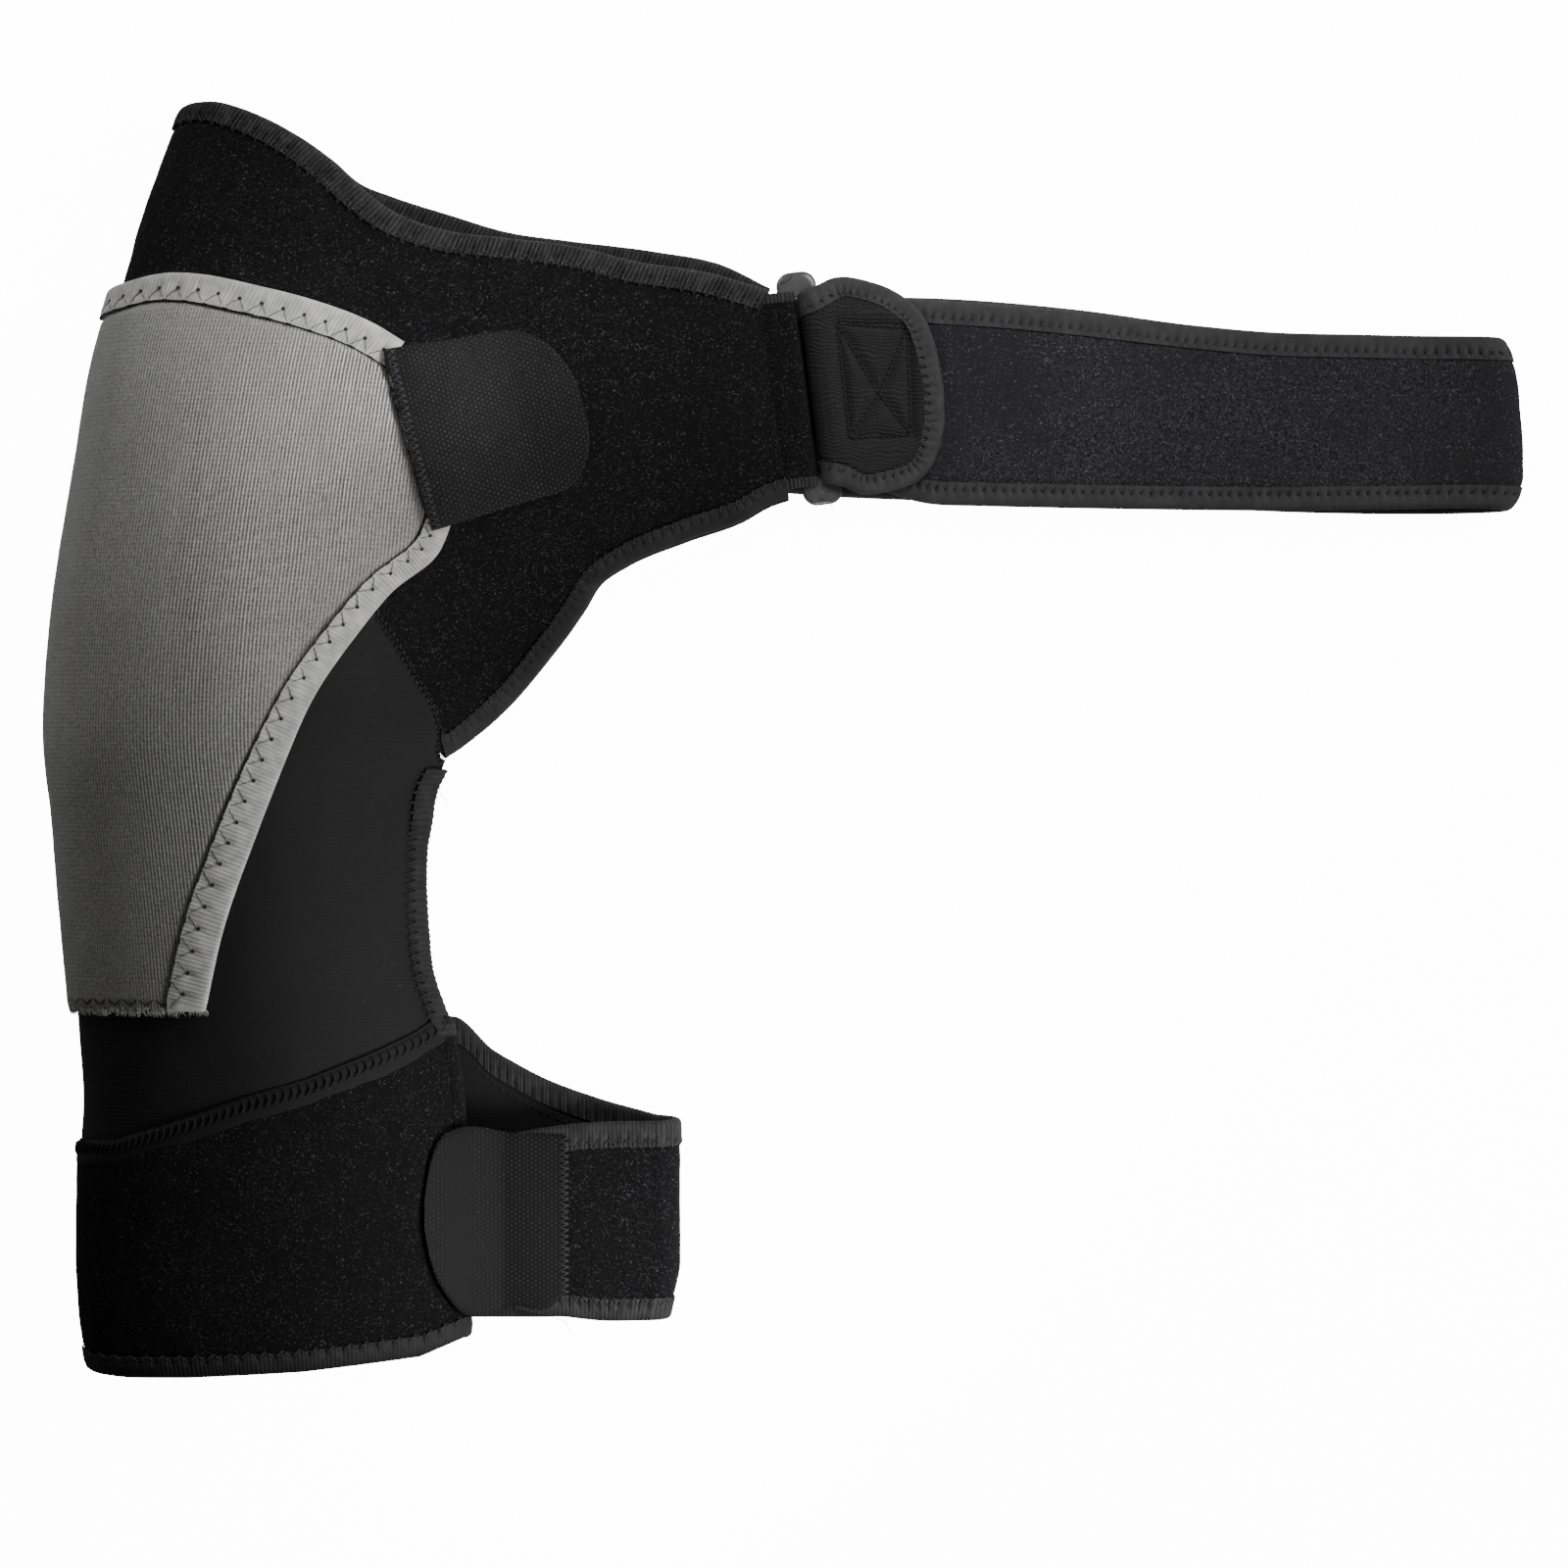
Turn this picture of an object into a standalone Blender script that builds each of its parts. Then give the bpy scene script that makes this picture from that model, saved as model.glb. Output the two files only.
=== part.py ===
"""Padded shoulder brace, lying folded on its back: +X to the wing, +Y to the neck, +Z up.

Every padded piece is a region of one unrolled sheet. w runs along the sheet from the shoulder fold, positive on
the front and negative on the back, and y runs up the body. section() bends the sheet, wall() gives it thickness.
"""

import bpy
import numpy as np

# Sizes in millimetres.
FRONT_BEND = 68.0
BACK_BEND = 42.0
PANEL_WALL = 3.8
SLEEVE_WALL = 3.2
CUFF_PROUD = 1.2
BINDING_PROUD = 0.5
BINDING_WIDE = 9.0
GAP = 0.3
HOLE_COLUMNS = 12
WING_COLUMNS = 14
NOSE = 4.4
NOSE_FROM = 0.73
NOSE_TO = 2.62
SEAM_HIGH = 20.0
COVER_LOW = 1.3
COVER_HIGH = 4.6
COVER_PROUD = 5.0
COVER_TOP_WIDE = 12.0
COVER_SIDE_WIDE = (11.0, 16.5)
TAB_WALL = 1.6
STRAP_WALL = 3.4
STRAP_BINDING = 4.1
STRAP_LOW = 2.05
RING_ACROSS = 17.0
RING_LONG = 99.5
RING_BAR = 4.0
RING_END = 7.2
RING_BAR_AT = 6.5
RING_CENTRE = (11.0, 149.5, 19.5)
RING_LEAN = 0.129
LOOP_WALL = 2.6
ORIGIN = np.array((1.3, 1.7, 0.0))

# The fold line: how far up the body, where its left side is, crest height and fold height.
FOLD = np.array([
    (271, -254.0, 46, 22), (264, -257.0, 48, 23), (243, -264.5, 54, 26), (222, -271.5, 60, 28),
    (201, -277.5, 66, 30), (166, -287.0, 74, 32), (124, -294.5, 80, 33), (83, -301.0, 82, 33),
    (41, -306.5, 81, 33), (0, -308.5, 78, 32), (-41, -305.0, 72, 31), (-83, -301.0, 67, 29),
    (-120, -298.5, 62, 28), (-158, -296.8, 58, 27), (-180, -298.4, 57, 27), (-203, -298.9, 55, 27),
    (-228, -298.4, 53, 27), (-248, -297.0, 52, 27), (-272, -292.5, 50, 27),
])
# The right side of the front: how far up, where, and the height of the sheet there.
RIGHT = np.array([
    (275, 8.5, 26), (103, 8.5, 26), (93.5, -16.5, 26), (84.5, -41.5, 26), (74, -66.5, 26), (56, -84, 26),
    (35.5, -98.5, 25), (14.5, -115.5, 24.5), (4, -126.5, 24), (-6, -139.8, 23.6), (-16.5, -147, 23.4),
    (-37.5, -151.4, 23.4), (-79, -152, 23.4), (-100, -149.5, 23.4), (-118.5, -143.2, 23.4),
    (-143.5, -138.4, 23.4), (-164.5, -136.6, 23.4), (-206, -135.2, 23.4), (-275, -134.2, 23.4),
])
# Outlines seen from the front, as x and y.
NECK_FRONT = np.array([
    (-246.5, 270.5), (-239.5, 270), (-227, 266), (-214, 260), (-201.5, 252.5), (-188.5, 242.5), (-176, 231),
    (-164, 222), (-140.5, 213.5), (-117, 211), (-86, 207.5), (-62.5, 202), (-31, 197.5), (-5.5, 190.5),
])
NECK_BACK = np.array([
    (-248.5, 272), (-242.5, 272.5), (-230, 269.5), (-217.5, 264), (-205, 257), (-192.5, 248), (-180, 237.5),
    (-167.5, 232.5), (-142.5, 224.5), (-117, 217), (-92, 213.5), (-54.5, 209), (-29, 204.5), (-5.5, 193.5),
])
ARMHOLE = np.array([
    (-266.5, 127), (-232, 111.5), (-203, 91), (-183, 69), (-165.5, 45.5), (-157, 30), (-147.5, 13.5),
    (-145.2, 5),
])
WING_LOW = np.array([
    (-144, -8.5), (-139.5, -6), (-126.5, 4), (-115.5, 14.5), (-98.5, 35.5), (-84, 56), (-77.5, 66.5),
    (-66.5, 74), (-41.5, 84.5), (-16.5, 93.5), (-6, 99.5), (2.5, 102.5),
])
CUFF_TOP = np.array([
    (-280.5, -169.5), (-261.5, -163.5), (-242.5, -157.5), (-224, -151), (-199.5, -144), (-175, -134.5),
    (-156.5, -126),
])
CUFF_FOOT = np.array([
    (-289.5, -268), (-276, -269), (-250.5, -268.5), (-202, -266), (-177.5, -263.5), (-153.5, -261),
])
COVER_TOP = np.array([
    (-265, 194), (-252.5, 194), (-242, 193), (-219, 188), (-197.5, 182.5), (-172, 173), (-156, 163.5),
])
COVER_EDGE = np.array([
    (-156, 163.5), (-147.5, 129), (-139.5, 94), (-144.5, 82), (-166.5, 61), (-182.5, 40.5), (-195.5, 20),
    (-205, -0.5), (-220.5, -41), (-234, -82), (-241, -113),
])
# The cover's hook tab: how far along it from its sewn edge, and its upper and lower edges.
COVER_TAB = np.array([
    (-0.5, 36.6, -36.6), (12, 36, -36), (30, 35, -35.8), (48, 34.2, -35.8), (55, 33, -35.7), (61, 29.5, -34.5),
    (66, 25, -31), (70, 18.5, -25.5), (73, 10.5, -19), (74.6, 2, -10), (75, -2, -6),
])
TAB_ROOT = (-157.5, 125.4)
TAB_TURN = 0.245
# Strap layers: where, upper edge, lower edge. The last table is the flap beyond the ring.
STRAP_BACK = np.array([
    (-27, 187, 108), (0, 188.5, 105.5), (61, 189.5, 102.5), (126, 184.5, 101), (174, 178, 99.5),
    (220.5, 173.5, 97.5), (298, 171.5, 97),
])
STRAP_FRONT = np.array([
    (296.5, 172, 98.5), (250.5, 172.5, 98), (208.5, 173.5, 97.5), (167, 177.5, 98), (125.5, 182, 98.5),
    (83.5, 186, 99.5), (60.5, 187.5, 100.5), (38, 189.5, 105.5), (22, 190.3, 108.7),
])
FLAP = np.array([
    (14, 190.5, 108.5), (20, 193, 107.5), (27, 196.2, 104.5), (42, 194.5, 105.5), (50, 191, 107.5),
    (56, 186.5, 110), (61, 181, 114), (64.5, 173, 119.5), (67, 163, 126.5), (69, 150, 135),
])
# How far the strap's right fold is drawn in: how far up, and by how much.
FOLD_IN = np.array([(97, 6.5), (102, 3), (109, 0.5), (119.5, 0), (140, 1.3), (161, 4.2), (166, 6), (172, 9)])
# The front strap's wave: where, and its middle height.
STRAP_WAVE = np.array([
    (17.3, 15.0), (38, 15.1), (66, 15.6), (118, 17.4), (164, 15.2), (240, 18.0), (272, 15.9), (297, 16.6),
])
# The cuff strap: where, upper edge, lower edge.
CUFF_STRAP_BACK = np.array([
    (-152, -127, -247), (-142.5, -127, -247), (-130, -129.5, -247), (-117.5, -136.5, -247),
    (-104.5, -143.5, -247), (-79.5, -153, -246.5), (-54.5, -160, -246.5),
])
CUFF_STRAP_FRONT = np.array([
    (-54.5, -162, -247), (-79, -162.5, -247), (-92, -163.5, -245.5), (-106, -165.5, -243.5),
    (-114, -167, -241.5),
])
CUFF_STRAP_RIGHT = -44.0
CUFF_STRAP_MIDDLE = 18.8
# The cuff strap's hook tab: where, upper edge, lower edge.
CUFF_TAB = np.array([
    (-92.5, -168, -234), (-97, -168, -239.5), (-114, -167, -240.2), (-139.5, -165.2, -239.5),
    (-144, -167.5, -233), (-148, -174, -225), (-150.5, -184, -215.5), (-152, -196, -206),
])

COLOURS = {
    "loop_fabric": (0.008, 0.008, 0.009),
    "knit_black": (0.012, 0.012, 0.013),
    "knit_grey": (0.15, 0.15, 0.145),
    "binding_black": (0.02, 0.02, 0.02),
    "binding_grey": (0.34, 0.34, 0.32),
    "hook_black": (0.02, 0.02, 0.021),
    "gloss_black": (0.03, 0.03, 0.03),
}


def spline(knots, values, at):
    """A smooth curve through the knots, sloped at each knot by its neighbours, and straight past the ends."""
    knots, values = np.asarray(knots, float), np.asarray(values, float)
    if knots[0] > knots[-1]:
        knots, values = knots[::-1], values[::-1]
    slopes = np.gradient(values, knots)
    i = np.clip(np.searchsorted(knots, at, side="right") - 1, 0, len(knots) - 2)
    h = knots[i + 1] - knots[i]
    t = np.clip((at - knots[i]) / h, 0, 1)
    past = at - knots[i] - t * h
    a, b = values[i], values[i + 1]
    curve = a * (1 + 2 * t) * (1 - t) ** 2 + b * t * t * (3 - 2 * t)
    curve += h * (slopes[i] * t * (1 - t) ** 2 - slopes[i + 1] * t * t * (1 - t))
    return curve + past * np.where(t > 0.5, slopes[i + 1], slopes[i])


def ease(t):
    """Nought to one, level at both ends."""
    t = np.clip(t, 0, 1)
    return t * t * (3 - 2 * t)


def tubeness(y):
    """One where the sheet closes into the sleeve, nought in the wings."""
    return ease((45 - y) / 55)


def back_height(x, y):
    """How far the back's outer face lies above the floor."""
    under_cover = 0.5 + 4.5 * (1 - ease((x + 85) / 55))
    return 1.7 + (under_cover - 1.7) * ease((y + 150) / 34)


def section(w, y):
    """The outer face of the sheet: a quarter ellipse up from the fold, then an eased fall to the right edge."""
    left = spline(FOLD[:, 0], FOLD[:, 1], y)
    crest = spline(FOLD[:, 0], FOLD[:, 2], y)
    side = spline(FOLD[:, 0], FOLD[:, 3], y)
    right = spline(RIGHT[:, 0], RIGHT[:, 1], y)
    end = spline(RIGHT[:, 0], RIGHT[:, 2], y)
    tube = tubeness(y)
    bend = np.where(w > 0, FRONT_BEND, BACK_BEND)
    turn = np.clip(np.abs(w) / bend, 0, np.pi / 2)
    out = bend * (1 - np.cos(turn)) + np.maximum(np.abs(w) - bend * np.pi / 2, 0)
    x = left + out
    reach = right - left - NOSE * (1 - np.sin(NOSE_FROM)) * tube
    q = np.clip((out - FRONT_BEND) / (reach - FRONT_BEND), 0, 1.2)
    fall = (1 - tube) * (1 - np.cos(np.pi * np.minimum(q, 1))) / 2 + tube * q * q
    front = side + (crest - side) * np.sin(turn) - (crest - end) * fall
    floor = back_height(x, y)
    shut = right - left - NOSE * (1 - np.sin(NOSE_TO))
    r = np.clip((out - shut + 42) / 42, 0, 1.1)
    lift = tube * (SEAM_HIGH + NOSE * np.cos(NOSE_TO) - floor) * r * r
    back = floor + (side - floor) * (1 - np.sin(turn)) + lift
    return np.stack([x, y + 0 * x, np.where(w > 0, front, back)], axis=-1)


def unroll(points, bend, sign):
    """Points seen from the front, as x and y, put on the sheet as w and y."""
    points = np.asarray(points, float)
    out = np.maximum(points[:, 0] - spline(FOLD[:, 0], FOLD[:, 1], points[:, 1]), 0)
    w = np.where(out < bend, bend * np.arccos(np.clip(1 - out / bend, -1, 1)), bend * (np.pi / 2 - 1) + out)
    return np.stack([sign * w, points[:, 1]], axis=1)


def wall(surface, a, b, off):
    """The surface's point at a and b, moved off along its outward normal."""
    step = 0.02
    across = surface(a + step, b) - surface(a - step, b)
    along = surface(a, b + step) - surface(a, b - step)
    normal = np.cross(across, along)
    normal /= np.linalg.norm(normal, axis=-1, keepdims=True)
    return surface(a, b) + normal * np.asarray(off)[..., None]


def arc_points(points, n):
    """n points evenly spaced along a polyline."""
    points = np.asarray(points, float)
    run = np.concatenate([[0], np.cumsum(np.linalg.norm(np.diff(points, axis=0), axis=1))])
    at = np.linspace(0, run[-1], n)
    return np.stack([np.interp(at, run, points[:, k]) for k in range(points.shape[1])], axis=1)


def smooth_line(points, n):
    """n points evenly spaced along a smooth curve through the given ones."""
    points = np.asarray(points, float)
    run = np.concatenate([[0], np.cumsum(np.linalg.norm(np.diff(points, axis=0), axis=1))])
    fine = np.linspace(0, run[-1], 12 * len(points))
    return arc_points(np.stack([spline(run, points[:, k], fine) for k in range(2)], axis=1), n)


def inset(points, by):
    """A polyline moved to its right hand by the given distance."""
    step = np.gradient(points, axis=0)
    step /= np.linalg.norm(step, axis=1, keepdims=True)
    return points + np.stack([step[:, 1], -step[:, 0]], axis=1) * np.reshape(by, (-1, 1))


def solid(name, outer, inner, colour, around=False):
    """A closed body between two grids of points, closed at its rims. around joins the last column to the first."""
    rows, columns = outer.shape[:2]
    points = np.concatenate([outer.reshape(-1, 3), inner.reshape(-1, 3)]) - ORIGIN
    index = np.arange(rows * columns).reshape(rows, columns)
    if around:
        index = np.concatenate([index, index[:, :1]], axis=1)
    under = index + rows * columns

    def quads(a, b, c, d):
        return np.stack([a, b, c, d], axis=-1).reshape(-1, 4)

    faces = [
        quads(index[:-1, :-1], index[1:, :-1], index[1:, 1:], index[:-1, 1:]),
        quads(under[:-1, :-1], under[:-1, 1:], under[1:, 1:], under[1:, :-1]),
        quads(index[0, :-1], index[0, 1:], under[0, 1:], under[0, :-1]),
        quads(index[-1, :-1], under[-1, :-1], under[-1, 1:], index[-1, 1:]),
    ]
    if not around:
        faces.append(quads(index[:-1, 0], under[:-1, 0], under[1:, 0], index[1:, 0]))
        faces.append(quads(index[:-1, -1], index[1:, -1], under[1:, -1], under[:-1, -1]))
    add_mesh(name, points, np.concatenate(faces), [], colour)


def sweep(name, rings, colour, closed=False):
    """A closed body from rings of section points, one ring for each station."""
    stations, count = rings.shape[:2]
    index = np.arange(stations * count).reshape(stations, count)
    if closed:
        index = np.concatenate([index, index[:1]])
    turned = np.roll(index, -1, axis=1)
    faces = np.stack([index[:-1], index[1:], turned[1:], turned[:-1]], axis=-1).reshape(-1, 4)
    caps = [] if closed else [index[0].tolist(), index[-1][::-1].tolist()]
    add_mesh(name, rings.reshape(-1, 3) - ORIGIN, faces, caps, colour)


def add_mesh(name, points, quads, caps, colour):
    """One object with its own colour, in metres, with faces pointing out."""
    points = points / 1000
    faces = quads.tolist() + caps
    centre = points.mean(axis=0)
    volume = 0.0
    for face in faces:
        corners = points[face] - centre
        for k in range(1, len(face) - 1):
            volume += np.dot(corners[0], np.cross(corners[k], corners[k + 1]))
    if volume < 0:
        faces = [face[::-1] for face in faces]
    mesh = bpy.data.meshes.new(name)
    mesh.from_pydata(points.tolist(), [], faces)
    material = bpy.data.materials.get(colour) or bpy.data.materials.new(colour)
    material.use_nodes = True
    shader = material.node_tree.nodes["Principled BSDF"]
    shader.inputs["Base Color"].default_value = (*COLOURS[colour], 1)
    shader.inputs["Roughness"].default_value = 0.25 if colour == "gloss_black" else 0.9
    mesh.materials.append(material)
    bpy.context.scene.collection.objects.link(bpy.data.objects.new(name, mesh))


def binding(name, surface, edge, inner, high, low, colour, closed=False):
    """A rounded strip between an edge and an inner line on a surface, from off high down to off low."""
    share = np.array([1.0, 0.4, 0.0, 0.0, 0.4, 1.0])
    level = np.array([0.0, 0.0, 0.26, 0.74, 1.0, 1.0])
    rings = []
    for s, t in zip(share, level):
        at = edge + (inner - edge) * s
        rings.append(wall(surface, at[:, 0], at[:, 1], high + (low - high) * t + 0 * at[:, 0]))
    sweep(name, np.stack(rings, axis=1), colour, closed)


def ring_of():
    """Stations round the closed sleeve: front from the fold, round the seam, and back to the fold."""
    corner = ARMHOLE[-1:]
    front = station_of(corner, FRONT_BEND, False)[0] * np.linspace(0, 1, HOLE_COLUMNS) ** 1.12
    back = 3 - (3 - station_of(corner, BACK_BEND, True)[0]) * np.linspace(1, 0, HOLE_COLUMNS)[:-1] ** 1.12
    return np.concatenate([front, [1, 1.33, 1.67, 2], back])


def tube_surface(f, y):
    """The closed sleeve's outer face: f from 0 to 1 on the front, to 2 round the seam, to 3 on the back."""
    f, y = np.broadcast_arrays(np.asarray(f, float) % 3, np.asarray(y, float))
    wide = spline(RIGHT[:, 0], RIGHT[:, 1], y) - spline(FOLD[:, 0], FOLD[:, 1], y)
    front_end = FRONT_BEND * (np.pi / 2 - 1) + wide - NOSE * (1 - np.sin(NOSE_FROM))
    back_end = BACK_BEND * (np.pi / 2 - 1) + wide - NOSE * (1 - np.sin(NOSE_TO))
    w = np.where(f <= 1, np.minimum(f, 1) * front_end, -(3 - np.maximum(f, 2)) * back_end)
    flat = section(np.where(np.abs(w) < 1e-9, 1e-9, w), y)
    turn = NOSE_FROM + (NOSE_TO - NOSE_FROM) * np.clip(f - 1, 0, 1)
    tip = wide + spline(FOLD[:, 0], FOLD[:, 1], y) - NOSE
    nose = np.stack([tip + NOSE * np.sin(turn), y, SEAM_HIGH + NOSE * np.cos(turn)], axis=-1)
    return np.where(((f > 1) & (f < 2))[..., None], nose, flat)


def station_of(points, bend, back):
    """Where points seen from the front lie round the closed sleeve, as f."""
    at = unroll(points, bend, 1)
    wide = spline(RIGHT[:, 0], RIGHT[:, 1], at[:, 1]) - spline(FOLD[:, 0], FOLD[:, 1], at[:, 1])
    turn = NOSE_TO if back else NOSE_FROM
    f = at[:, 0] / (bend * (np.pi / 2 - 1) + wide - NOSE * (1 - np.sin(turn)))
    return 3 - f if back else f


def seam_line(points, fold_y, nose_y):
    """A line round the closed sleeve as y for f, the same on the back as on the front."""
    front = station_of(points, FRONT_BEND, False)
    back = station_of(points, BACK_BEND, True)
    knots = np.concatenate([[0], front, [1, 2], back[::-1], [3]])
    ys = np.concatenate([[fold_y], points[:, 1], [nose_y, nose_y], points[::-1, 1], [fold_y]])
    return lambda f: np.interp(f, knots, ys)


def make_tube(name, top, foot, rows, high, wall_mm, colour):
    """A closed stretch of sleeve between two lines round it."""
    f = ring_of()
    v = np.linspace(0, 1, rows)[:, None]
    y = top(f) * (1 - v) + foot(f) * v
    f = np.broadcast_to(f, y.shape)
    outer = wall(tube_surface, f, y, high + 0 * y)
    inner = wall(tube_surface, f, y, high - wall_mm + 0 * y)
    solid(name, outer, inner, colour, around=True)


def sheet_point(f, y, sign):
    """The w of a station of the sleeve, where the sheet goes on above it."""
    wide = spline(RIGHT[:, 0], RIGHT[:, 1], y) - spline(FOLD[:, 0], FOLD[:, 1], y)
    bend, turn = (FRONT_BEND, NOSE_FROM) if sign > 0 else (BACK_BEND, NOSE_TO)
    share = f if sign > 0 else 3 - f
    return sign * share * (bend * (np.pi / 2 - 1) + wide - NOSE * (1 - np.sin(turn)))


def make_body():
    """The folded panel: columns ruled between the neck edge and the armhole or the lower wing edge."""
    armhole = seam_line(ARMHOLE, 134.5, -9.5)
    f = ring_of()
    halves = []
    for sign, bend, neck in ((1, FRONT_BEND, NECK_FRONT), (-1, BACK_BEND, NECK_BACK)):
        edge = unroll(neck, bend, sign)
        edge = smooth_line(np.concatenate([[(0, 267.5), (sign * 14, 269.5)], edge]), 200)
        share = np.linspace(0, 0.36, HOLE_COLUMNS), np.linspace(0.36, 1, WING_COLUMNS + 1)[1:]
        edge = at_shares(edge, np.concatenate(share))
        own = f[:HOLE_COLUMNS] if sign > 0 else np.append(3, f[:HOLE_COLUMNS + 3:-1])
        y = armhole(own)
        hole = np.stack([sheet_point(own, y, sign), y + 0.2], axis=1)
        low = smooth_line(unroll(WING_LOW, bend, sign), 200)
        pair = trimmed(low, -sign * BINDING_WIDE, -sign * (BINDING_WIDE + GAP), sign, hole[-1])
        low, low_in, low_panel = (at_shares(line, np.linspace(0, 1, WING_COLUMNS + 1)) for line in pair)
        low[0] += (sign * 1.6, 0.6)
        low_in[0] = hole[-1] + (sign * 0.8, -0.2)
        halves.append((edge, sign, hole, low, low_in, low_panel))
    tops, lows = [], []
    for edge, sign, hole, low, low_in, low_panel in halves:
        tops.append(inset(edge, sign * (BINDING_WIDE + GAP)))
        lows.append(np.concatenate([hole, low_panel[1:]]))
        name = "front_wing_binding" if sign > 0 else "back_wing_binding"
        binding(name, section, low, low_in, BINDING_PROUD, -PANEL_WALL - BINDING_PROUD, "binding_black")
    top = np.concatenate([tops[1][:0:-1], tops[0]])
    low = np.concatenate([lows[1][:0:-1], lows[0]])
    v = np.linspace(0, 1, 9)[:, None, None]
    grid = top * (1 - v) + low * v
    a, b = grid[..., 0], grid[..., 1]
    outer = wall(section, a, b, 0 * a)
    inner = wall(section, a, b, -PANEL_WALL + 0 * a)
    solid("shoulder_body", outer, inner, "loop_fabric")
    edge = np.concatenate([halves[1][0][:0:-1], halves[0][0]])
    inner = np.concatenate([inset(halves[1][0], -BINDING_WIDE)[:0:-1], inset(halves[0][0], BINDING_WIDE)])
    binding("neck_binding", section, edge, inner, BINDING_PROUD, -PANEL_WALL - BINDING_PROUD, "binding_black")


def at_shares(line, share):
    """Points at shares of the way along a polyline's index."""
    at = np.asarray(share) * (len(line) - 1)
    return np.stack([np.interp(at, np.arange(len(line)), line[:, k]) for k in range(line.shape[1])], axis=1)


def trimmed(line, near, far, sign, corner):
    """A line and its two insets, each from where the far inset has passed the corner."""
    lines = [line, inset(line, near), inset(line, far)]
    start = int(np.argmax(sign * lines[2][:, 0] > sign * corner[0] + 0.8))
    fresh = [part[start:].copy() for part in lines]
    fresh[0] = smooth_from(line[0], line, start)
    return fresh


def smooth_from(first, line, start):
    """The line's rest after start, with its beginning drawn back to the first point."""
    rest = line[start:].copy()
    pull = np.linspace(1, 0, 30)[:, None] ** 2
    rest[:30] += (first - rest[0]) * pull
    return rest


def make_arm():
    """Sleeve, cuff, the cuff's binding and the tape over the underarm seam."""
    armhole = seam_line(ARMHOLE, 134.5, -9.5)
    cuff_top = seam_line(CUFF_TOP, -170.5, -118.0)
    foot = seam_line(CUFF_FOOT, -266.0, -254.0)
    make_tube(
        "arm_sleeve", lambda f: armhole(f) - 0.2, lambda f: cuff_top(f) + 0.2, 11,
        0.0, SLEEVE_WALL, "knit_black",
    )
    make_tube(
        "arm_cuff", lambda f: cuff_top(f) - 0.2, lambda f: foot(f) + BINDING_WIDE + GAP, 6,
        CUFF_PROUD, CUFF_PROUD + SLEEVE_WALL, "loop_fabric",
    )
    f = ring_of()
    edge = np.stack([f, foot(f)], axis=1)
    inner = edge + (0, BINDING_WIDE)
    binding("cuff_binding", tube_surface, edge, inner, CUFF_PROUD + 0.5, -SLEEVE_WALL - 0.4, "binding_black", True)
    y = np.concatenate([np.linspace(-14, -106, 10), np.linspace(-113, -240, 8)])
    proud = 0.5 + (CUFF_PROUD + 0.1) * ease((-106 - y) / 6) + 0.9 * ease((y + 50) / 22)
    share = np.array([0.975, 1.0, 1.33, 1.67, 2.0, 2.025])
    f, yy = np.meshgrid(share, y)
    off = np.broadcast_to(proud[:, None], f.shape)
    outer = wall(tube_surface, f, yy, off + 0.9)
    inner = wall(tube_surface, f, yy, off)
    solid("underarm_seam", outer, inner, "binding_black")


def make_cover():
    """The grey pad round the fold, a smooth patch between its edges, with its bindings and its front tab."""
    foot, columns, rows = -113.0, 13, 13
    grids, tops, top_ins = [], [], []
    for sign, bend in ((-1, BACK_BEND), (1, FRONT_BEND)):
        top = unroll(COVER_TOP, bend, sign)[1:]
        top = smooth_line(np.concatenate([[(0, 188.5), (sign * 30, 191)], top]), 160)
        side = smooth_line(unroll(COVER_EDGE, bend, sign), 240)
        top_panel = inset(top, sign * (COVER_TOP_WIDE + GAP))
        wide = sign * np.interp(side[:, 1], (-113, 90), COVER_SIDE_WIDE[::-1])
        side_panel = inset(side, wide + sign * GAP)
        apart = np.linalg.norm(top_panel[:, None] - side_panel[None, :], axis=2)
        j, i = np.unravel_index(np.argmin(apart), apart.shape)
        share = np.linspace(0, j / (len(top) - 1), columns)
        top_line = at_shares(top_panel, share)
        tops.append(at_shares(top, share))
        top_ins.append(at_shares(inset(top, sign * COVER_TOP_WIDE), share))
        share = np.linspace(i / (len(side) - 1), 1, rows)
        side_line = at_shares(side_panel, share)
        side_line[0] = top_line[-1]
        side_line[-1, 1] = foot
        outer_line, inner_line = at_shares(side, share), at_shares(inset(side, wide), share)
        outer_line[-1, 1], inner_line[-1, 1] = foot, foot
        name = "cover_front_binding" if sign > 0 else "cover_back_binding"
        binding(name, section, outer_line, inner_line, COVER_PROUD, COVER_LOW, "binding_grey")
        u = np.linspace(0, 1, columns)[:, None]
        v = np.linspace(0, 1, rows)[:, None, None]
        fold = np.array((0, top_line[0, 1])) * (1 - v) + np.array((0, foot)) * v
        bow = top_line - top_line[0] * (1 - u) - top_line[-1] * u
        grids.append(fold * (1 - u) + side_line[:, None] * u + bow * (1 - v))
    grid = np.concatenate([grids[0][:, :0:-1], grids[1]], axis=1)
    a, b = grid[..., 0], grid[..., 1]
    outer = wall(section, a, b, COVER_HIGH + 0 * a)
    inner = wall(section, a, b, COVER_LOW + 0 * a)
    solid("shoulder_cover", outer, inner, "knit_grey")
    edge = np.concatenate([tops[0][:0:-1], tops[1]])
    inner = np.concatenate([top_ins[0][:0:-1], top_ins[1]])
    binding("cover_top_binding", section, edge, inner, COVER_PROUD, COVER_LOW, "binding_grey")
    make_cover_tab()


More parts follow.
